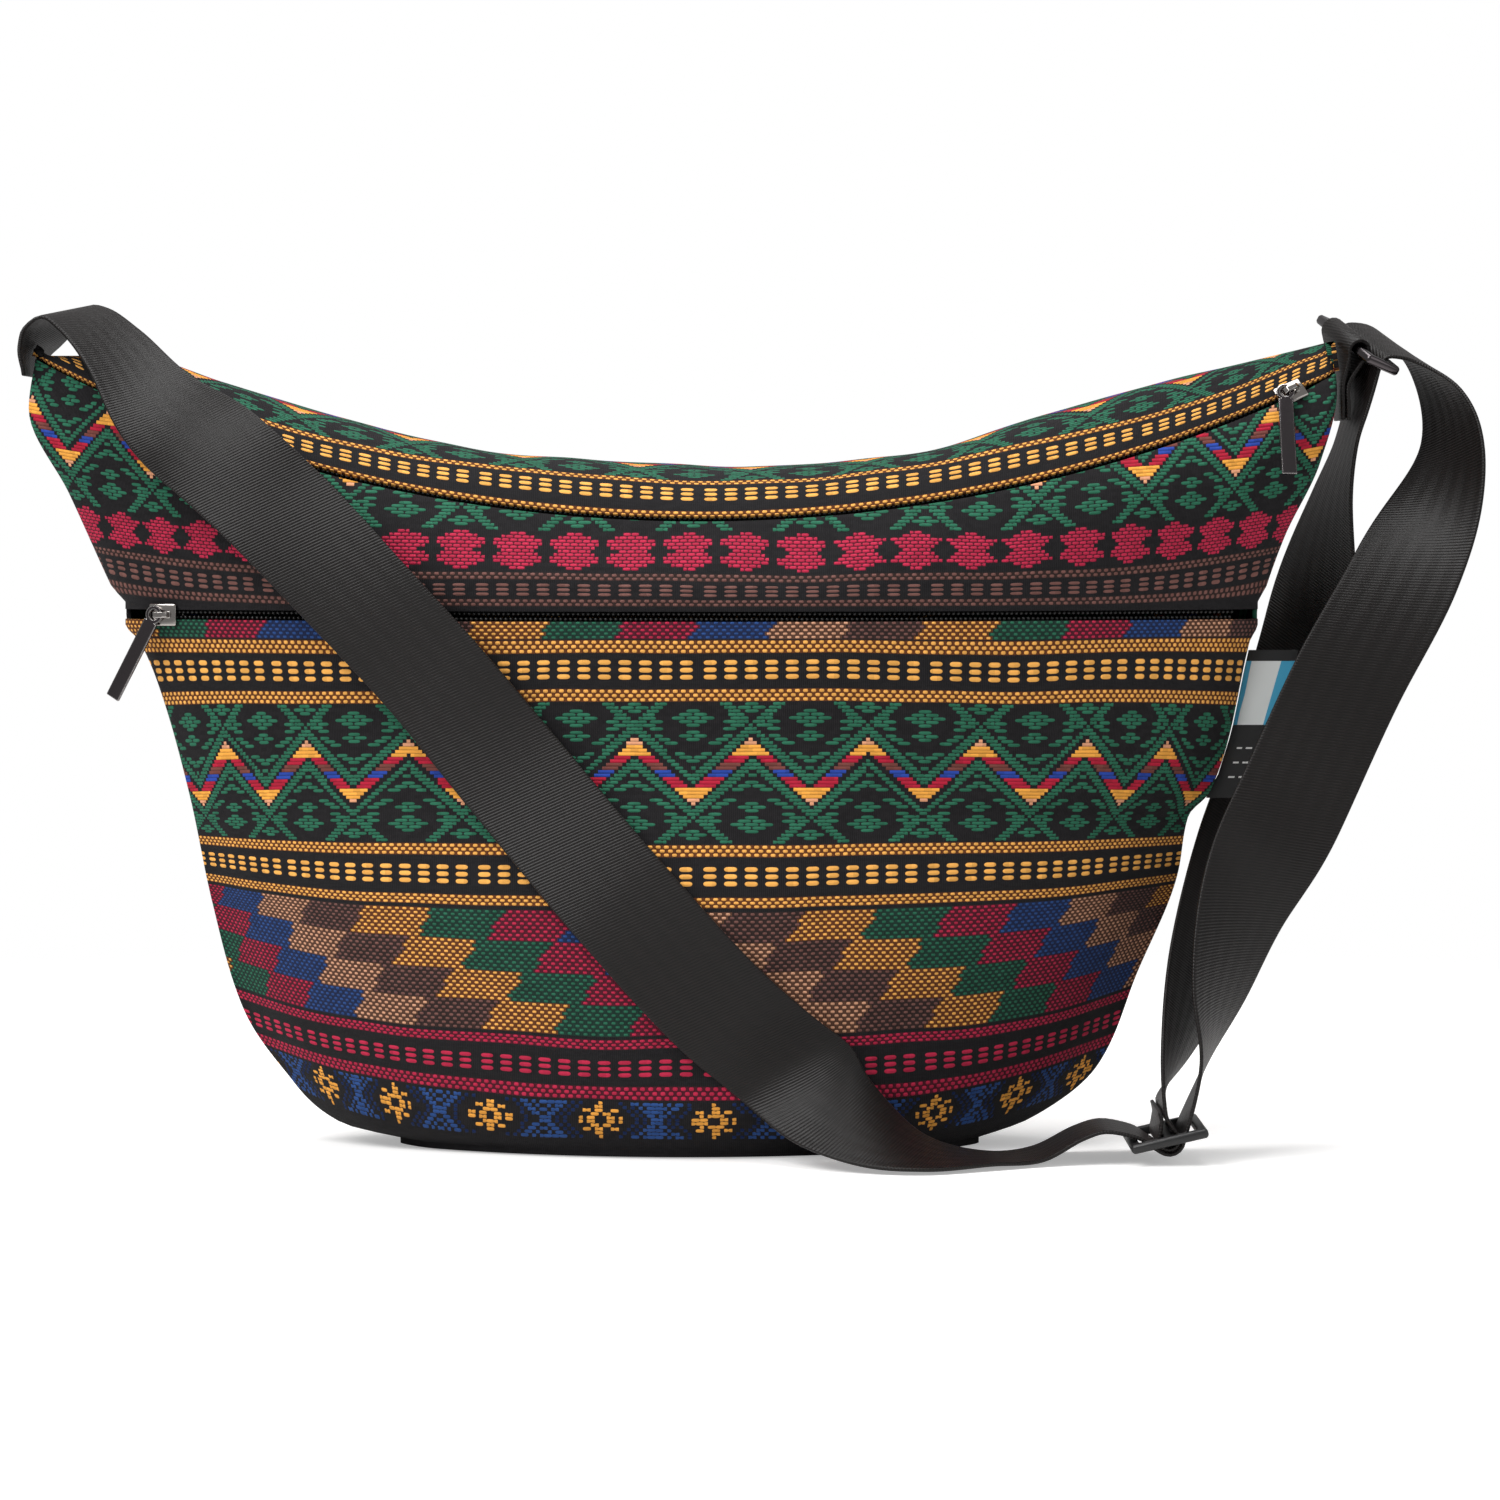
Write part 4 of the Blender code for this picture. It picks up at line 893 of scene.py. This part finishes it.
# Middle of the webbing in millimetres and the direction across it, from the left tip along the front to the
# adjuster, up to the ring, and back behind the outer run to the adjuster's middle bar
strapStations = [
    (-249.2, 8.0, 264.0, 0.00, -1.00, 0.00), (-248.4, 8.0, 271.0, -0.12, -0.99, 0.00),
    (-245.0, 8.0, 276.5, -0.30, -0.95, -0.05), (-242.0, 8.0, 282.2, -0.38, -0.92, -0.10),
    (-237.0, 8.0, 286.4, -0.33, -0.93, -0.12), (-230.0, 5.0, 283.5, -0.33, -0.91, -0.22),
    (-219.0, -4.0, 273.4, -0.39, -0.86, -0.34), (-203.0, -20.0, 254.0, -0.58, -0.63, -0.52),
    (-180.0, -33.7, 236.0, -0.73, -0.06, -0.68), (-160.0, -40.3, 218.0, -0.73, -0.07, -0.68),
    (-131.0, -47.5, 188.0, -0.72, 0.16, -0.67), (-107.0, -50.1, 162.0, -0.72, 0.18, -0.67),
    (-81.0, -54.0, 131.0, -0.73, 0.05, -0.68), (-44.0, -67.0, 88.0, -0.73, -0.03, -0.68),
    (-11.0, -67.1, 52.0, -0.73, 0.05, -0.68), (13.0, -60.5, 31.0, -0.73, 0.04, -0.68),
    (35.0, -73.0, 15.0, -0.25, -0.75, -0.62), (56.0, -76.0, 5.5, 0.00, -0.98, -0.22),
    (78.0, -64.0, 1.8, 0.05, -1.00, 0.00), (96.0, -53.0, 2.0, 0.05, -1.00, 0.00),
    (110.0, -48.5, 8.5, 0.02, -1.00, 0.00),
    *inAdjuster(
        (118.0, 10.8), (128.5, 8.9), (129.7, 8.4), (136.2, 4.1), (137.7, 3.4), (139.4, 3.2), (141.1, 3.6),
        (142.5, 4.6), (143.5, 6.0), (144.0, 7.6)),
    (152.5, -48.0, 33.0, -0.15, -0.98, 0.05), (157.0, -47.0, 56.0, -0.52, -0.82, 0.22),
    (165.0, -42.0, 84.0, -0.76, -0.52, 0.39), (182.0, -34.0, 118.0, -0.89, 0.10, 0.45),
    (202.0, -27.0, 160.0, -0.90, 0.10, 0.42), (223.0, -19.0, 198.0, -0.87, 0.36, 0.33),
    (240.0, -6.0, 240.0, -0.45, 0.89, 0.06), (235.0, 3.0, 263.0, -0.35, 0.91, 0.20),
    *aroundRing(
        (221.2, 11.7, 275.3), (213.8, 8.9, 276.7), (212.7, 8.6, 276.6), (211.7, 8.4, 276.3),
        (210.8, 8.4, 275.6), (210.1, 8.5, 274.7), (209.7, 8.7, 273.7), (208.5, 10.2, 268.8)),
    (208.8, 12.0, 255.0, -0.10, 0.98, 0.15), (206.0, 15.0, 242.0, -0.08, 0.99, 0.06),
    (201.5, 17.5, 224.0, -0.24, 0.97, 0.08), (197.0, 19.0, 198.0, -0.58, 0.80, 0.14),
    (194.0, 19.0, 170.0, -0.88, 0.42, 0.24), (181.0, 15.0, 124.0, -0.96, 0.02, 0.28),
    (172.0, 8.0, 102.0, -0.94, -0.20, 0.28), (156.0, -22.0, 66.5, -0.74, -0.62, 0.24),
    (142.5, -46.0, 34.0, -0.30, -0.94, 0.10),
    *inAdjuster(
        (137.7, 18.2), (138.5, 14.7), (141.7, 10.3), (142.3, 9.2), (142.4, 8.0), (142.1, 6.8),
        (141.4, 5.8), (140.4, 5.1), (139.2, 4.8), (137.9, 5.0), (136.8, 5.6), (136.0, 6.5), (135.6, 7.7),
        (135.7, 8.9), (136.6, 14.3), (135.8, 17.7)),
]


def centripetal(values, knots, i, at):
    v, k = values[i - 1:i + 3], knots[i - 1:i + 3]

    def mix(a, b, first, last):
        return a * ((last - at) / (last - first)) + b * ((at - first) / (last - first))

    a, b, c = (mix(v[n], v[n + 1], k[n], k[n + 1]) for n in range(3))
    return mix(mix(a, b, k[0], k[2]), mix(b, c, k[1], k[3]), k[1], k[2])


def smoothRoute(stations, step):
    points = [Vector(s[:3]) / 1000 for s in stations]
    widths = [Vector(s[3:]).normalized() for s in stations]
    points = [points[0] * 2 - points[1]] + points + [points[-1] * 2 - points[-2]]
    widths = [widths[0]] + widths + [widths[-1]]
    knots = [0.0]
    for before, after in zip(points, points[1:]):
        knots.append(knots[-1] + math.sqrt((after - before).length))
    out = []
    for i in range(1, len(points) - 2):
        count = max(1, round((points[i + 1] - points[i]).length / step))
        for s in range(count):
            at = knots[i] + (knots[i + 1] - knots[i]) * s / count
            out.append((centripetal(points, knots, i, at), centripetal(widths, knots, i, at)))
    out.append((points[-2], widths[-2]))
    return out


def tapeRibbon(name, stations, width, node):
    route = smoothRoute(stations, strap["step"])
    shares = [-1.0, -0.94, -0.75, -0.5, -0.25, 0.0, 0.25, 0.5, 0.75, 0.94, 1.0]
    verts, coords = [], []
    run = 0.0
    for i, (point, side) in enumerate(route):
        if i:
            run += (point - route[i - 1][0]).length
        for share in shares:
            verts.append(point + side.normalized() * width / 2 * share)
            coords.append((width / 2 * (1 + share), run))
    faces = [tuple(reversed(f)) for f in gridFaces(len(route), len(shares))]
    obj = newObject(name, verts, faces)
    addUv(obj, "tape", coords)
    addSolidify(obj, strap["thickness"], 0.0)
    addBevel(obj, 0.0005, 2, 60)
    bake(obj)
    smoothShade(obj, 50)
    return place(obj, "bag", "belt_webbing", materials["webbing"], node)


tapeRibbon("webbing_strap", strapStations, strap["width"], "shoulder_strap")
print("strap made")

# Zips


def zipStrip(name, line, profile, thickness, node, material, slot):
    first, last = ends(line)
    count = 150
    rows = []
    for up, inward in profile:
        rows.append([line.point(first + (last - first) * i / count, up=up, inward=inward)
                     for i in range(count + 1)])
    obj = newObject(name, [p for row in rows for p in row], gridFaces(len(rows), count + 1))
    addSolidify(obj, thickness)
    bake(obj)
    smoothShade(obj, 40)
    return place(obj, "bag", slot, material, node)


def ends(line):
    if line is pocketLine:
        reach = cornerShare(pocketZ) * halfWidth(pocketZ)
        return line.angleAt(line.middle.x - reach), line.angleAt(line.middle.x + reach)
    return line.angleAt(zips["left"]), line.angleAt(zips["right"])


def toothMesh(reach):
    # One turn of the coil as it shows between the tapes: a small rounded bar
    bm = bmesh.new()
    bmesh.ops.create_uvsphere(bm, u_segments=8, v_segments=6, radius=1.0)
    for v in bm.verts:
        v.co = Vector((v.co.x * zips["toothHalf"], v.co.y * zips["toothDepth"], v.co.z * reach / 2))
    mesh = bpy.data.meshes.new("tooth")
    bm.to_mesh(mesh)
    bm.free()
    mesh.shade_smooth()
    mesh.materials.append(materials["nylon"])
    obj = bpy.data.objects.new("tooth", mesh)
    bpy.context.scene.collection.objects.link(obj)
    return obj


def rowGroup():
    tree = bpy.data.node_groups.new("instances on turned points", "GeometryNodeTree")
    tree.interface.new_socket("Geometry", in_out="INPUT", socket_type="NodeSocketGeometry")
    tree.interface.new_socket("Piece", in_out="INPUT", socket_type="NodeSocketObject")
    tree.interface.new_socket("Finish", in_out="INPUT", socket_type="NodeSocketMaterial")
    tree.interface.new_socket("Geometry", in_out="OUTPUT", socket_type="NodeSocketGeometry")
    start = tree.nodes.new("NodeGroupInput")
    end = tree.nodes.new("NodeGroupOutput")
    piece = addNode(tree, "GeometryNodeObjectInfo", Object=start.outputs["Piece"])
    turn = addNode(tree, "GeometryNodeInputNamedAttribute", {"data_type": "FLOAT_VECTOR"}, Name="turn")
    rotation = addNode(tree, "FunctionNodeEulerToRotation", i0=turn.outputs[0])
    spread = addNode(tree, "GeometryNodeInstanceOnPoints", Points=start.outputs["Geometry"],
                     Instance=piece.outputs["Geometry"], Rotation=rotation.outputs[0])
    real = addNode(tree, "GeometryNodeRealizeInstances", Geometry=spread.outputs[0])
    painted = addNode(tree, "GeometryNodeSetMaterial", Geometry=real.outputs[0],
                      Material=start.outputs["Finish"])
    tree.links.new(painted.outputs[0], end.inputs[0])
    return tree


instanceRow = rowGroup()


def rowOf(name, piece, spots, material, slot):
    # spots: place and the piece's three directions
    obj = newObject(name, [spot[0] for spot in spots], [])
    turns = []
    for _, xAxis, yAxis, zAxis in spots:
        turns += list(Matrix((xAxis, yAxis, zAxis)).transposed().to_euler())
    obj.data.attributes.new("turn", "FLOAT_VECTOR", "POINT").data.foreach_set("vector", turns)
    modifier = obj.modifiers.new("row", "NODES")
    modifier.node_group = instanceRow
    names = {item.name: item.identifier for item in instanceRow.interface.items_tree
             if item.in_out == "INPUT"}
    modifier[names["Piece"]] = piece
    modifier[names["Finish"]] = material
    bake(obj)
    smoothShade(obj, 60)
    return place(obj, "bag", slot, material)


for prefix, line, names, slot in (("pocket_zip", pocketLine, ("upper", "lower"), zips["pocketSlot"]),
                                  ("main_zip", mainLine, ("back", "front"), zips["mainSlot"])):
    tooth = toothMesh(slot - 0.0003)
    first, last = ends(line)
    count = int((last - first) * line.radius / zips["toothPitch"])
    for name, side in zip(names, (1, -1)):
        tapeFront = zips["coilBack"] + body["gap"]
        profile = [(side * off, tapeFront + back) for off, back in zips["tapeProfile"]]
        zipStrip(f"{prefix}_tape_{name}_cloth", line, profile[::side], zips["tapeThickness"],
                 f"{prefix}_tape_{name}", materials["tape"], "zip_black")
        spots = []
        for i in range(count):
            angle = first + (last - first) * (i + 0.5 + (0.25 if side > 0 else -0.25)) / count
            tangent, into, above = line.axes(angle)
            spot = line.point(angle, up=side * (slot + zips["webHalf"]) / 2, inward=zips["coilMiddle"])
            spots.append((spot, tangent, into, above))
        row = rowOf(f"{prefix}_teeth_{name}", tooth, spots, materials["nylon"], "zip_black")
        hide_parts(f"{prefix}_coil_{name}")
    bpy.data.objects.remove(tooth)
print("zips made")

# Metal


def metalPiece(node, name, bodyName, bevelWidth, finish="gunmetal"):
    obj = nodeCopy(node, name)
    addBevel(obj, bevelWidth, 3, 35)
    bake(obj)
    smoothShade(obj, 35)
    return place(obj, bodyName, "gunmetal", materials[finish], node)


metalPiece("pocket_slider", "pocket_zip_slider", "pocket_slider_body", 0.0003, "nickel")
metalPiece("main_slider", "main_zip_slider", "main_slider_body", 0.0003, "nickel")
metalPiece("pocket_pull", "pocket_zip_pull", "pocket_pull_body", 0.00022)
metalPiece("main_pull", "main_zip_pull", "main_pull_body", 0.00022)
metalPiece("strap_ring", "ring_at_tip", "bag", 0.0006)
metalPiece("adjuster", "strap_adjuster", "bag", 0.0006, "enamel")


def softPiece(node, name, slot, material, bevelWidth):
    obj = nodeCopy(node, name)
    addBevel(obj, bevelWidth, 2, 50)
    bake(obj)
    smoothShade(obj, 50)
    return place(obj, "bag", slot, material, node)


def boxUv(obj, layer, start, bottom):
    # start: x where the sheet begins at a height
    addUv(obj, layer, {v.index: (v.co.x - start(v.co.z), v.co.z - bottom) for v in obj.data.vertices})


softPiece("base_panel", "base_cloth", "black_cloth", materials["base"], 0.0004)
softPiece("pocket_lining", "pocket_lining_cloth", "black_cloth", materials["lining"], 0.0002)
low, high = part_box("side_label")
label = softPiece("side_label", "woven_label", "label_cloth", materials["label"], 0.00008)
boxUv(label, "label", lambda z: rightCurve(level(z)) + 2 * body["gap"], low.z)
anchor = softPiece("right_anchor_loop", "anchor_webbing", "belt_webbing", materials["webbing"], 0.0003)
boxUv(anchor, "tape", lambda z: 0.19, 0.24)
print("hardware made")

# Studio


def floorMaterial():
    mat, tree, shader = newMaterial("studio floor", 1.0, 0.0)
    shader.inputs["Base Color"].default_value = hexColor(light["floorColor"])
    shader.inputs["Emission Color"].default_value = (1, 1, 1, 1)
    path = addNode(tree, "ShaderNodeLightPath")
    glow = Sum(tree, path.outputs["Is Camera Ray"]) * light["floorGlow"]
    tree.links.new(glow.socket, shader.inputs["Emission Strength"])
    # The floor fades into the white surroundings away from the bag
    spot = addNode(tree, "ShaderNodeTexCoord")
    reach = addNode(tree, "ShaderNodeVectorMath", {"operation": "LENGTH"}, i0=spot.outputs["Object"])
    fade = Sum(tree, reach.outputs["Value"]).ramp(0.42, 0.85)
    tree.links.new(fade.inverse().socket, shader.inputs["Alpha"])
    return mat


def studio():
    floor = newObject("floor", [(-6, -6, 0), (6, -6, 0), (6, 6, 0), (-6, 6, 0)], [(0, 1, 2, 3)])
    floor.location.z = -0.0004
    floor.data.materials.append(floorMaterial())
    world = bpy.data.worlds.new("studio")
    bpy.context.scene.world = world
    world.use_nodes = True
    tree = world.node_tree
    for node in list(tree.nodes):
        tree.nodes.remove(node)
    path = addNode(tree, "ShaderNodeLightPath")
    shown = addNode(tree, "ShaderNodeBackground", Color=(1, 1, 1, 1), Strength=1.0)
    lit = addNode(tree, "ShaderNodeBackground", Color=(1, 1, 1, 1), Strength=light["worldStrength"])
    mixed = addNode(tree, "ShaderNodeMixShader", i0=path.outputs["Is Camera Ray"], i1=lit.outputs[0],
                    i2=shown.outputs[0])
    out = addNode(tree, "ShaderNodeOutputWorld")
    tree.links.new(mixed.outputs[0], out.inputs["Surface"])
    for name, spot, size, power in (("key", (-1.1, -0.95, 1.45), 1.1, light["keyPower"]),
                                    ("fill", (1.3, -0.9, 0.8), 1.2, light["fillPower"]),
                                    ("top", (-0.05, 0.08, 1.6), 1.0, light["topPower"])):
        data = bpy.data.lights.new(name, "AREA")
        data.energy = power
        data.size = size
        lamp = bpy.data.objects.new(name, data)
        lamp.location = spot
        aim = Vector((0, 0, 0.12)) - Vector(spot)
        lamp.rotation_euler = aim.to_track_quat("-Z", "Y").to_euler()
        bpy.context.scene.collection.objects.link(lamp)


def camera():
    data = bpy.data.cameras.new("photo view")
    data.sensor_width = 36.0
    away, lift = view["away"], view["lift"]
    data.lens = data.sensor_width * away / view["frameWidth"]
    obj = bpy.data.objects.new("photo_camera", data)
    target = Vector((view["aimX"], 0.0, view["aimZ"]))
    obj.location = target + Vector((0, -math.cos(lift), math.sin(lift))) * away
    obj.rotation_euler = (target - obj.location).to_track_quat("-Z", "Y").to_euler()
    bpy.context.scene.collection.objects.link(obj)
    bpy.context.scene.camera = obj


studio()
camera()
scene = bpy.context.scene
scene.render.resolution_x = 1500
scene.render.resolution_y = 1500
scene.view_settings.view_transform = "Standard"
scene.view_settings.look = "None"

print("scene ready")
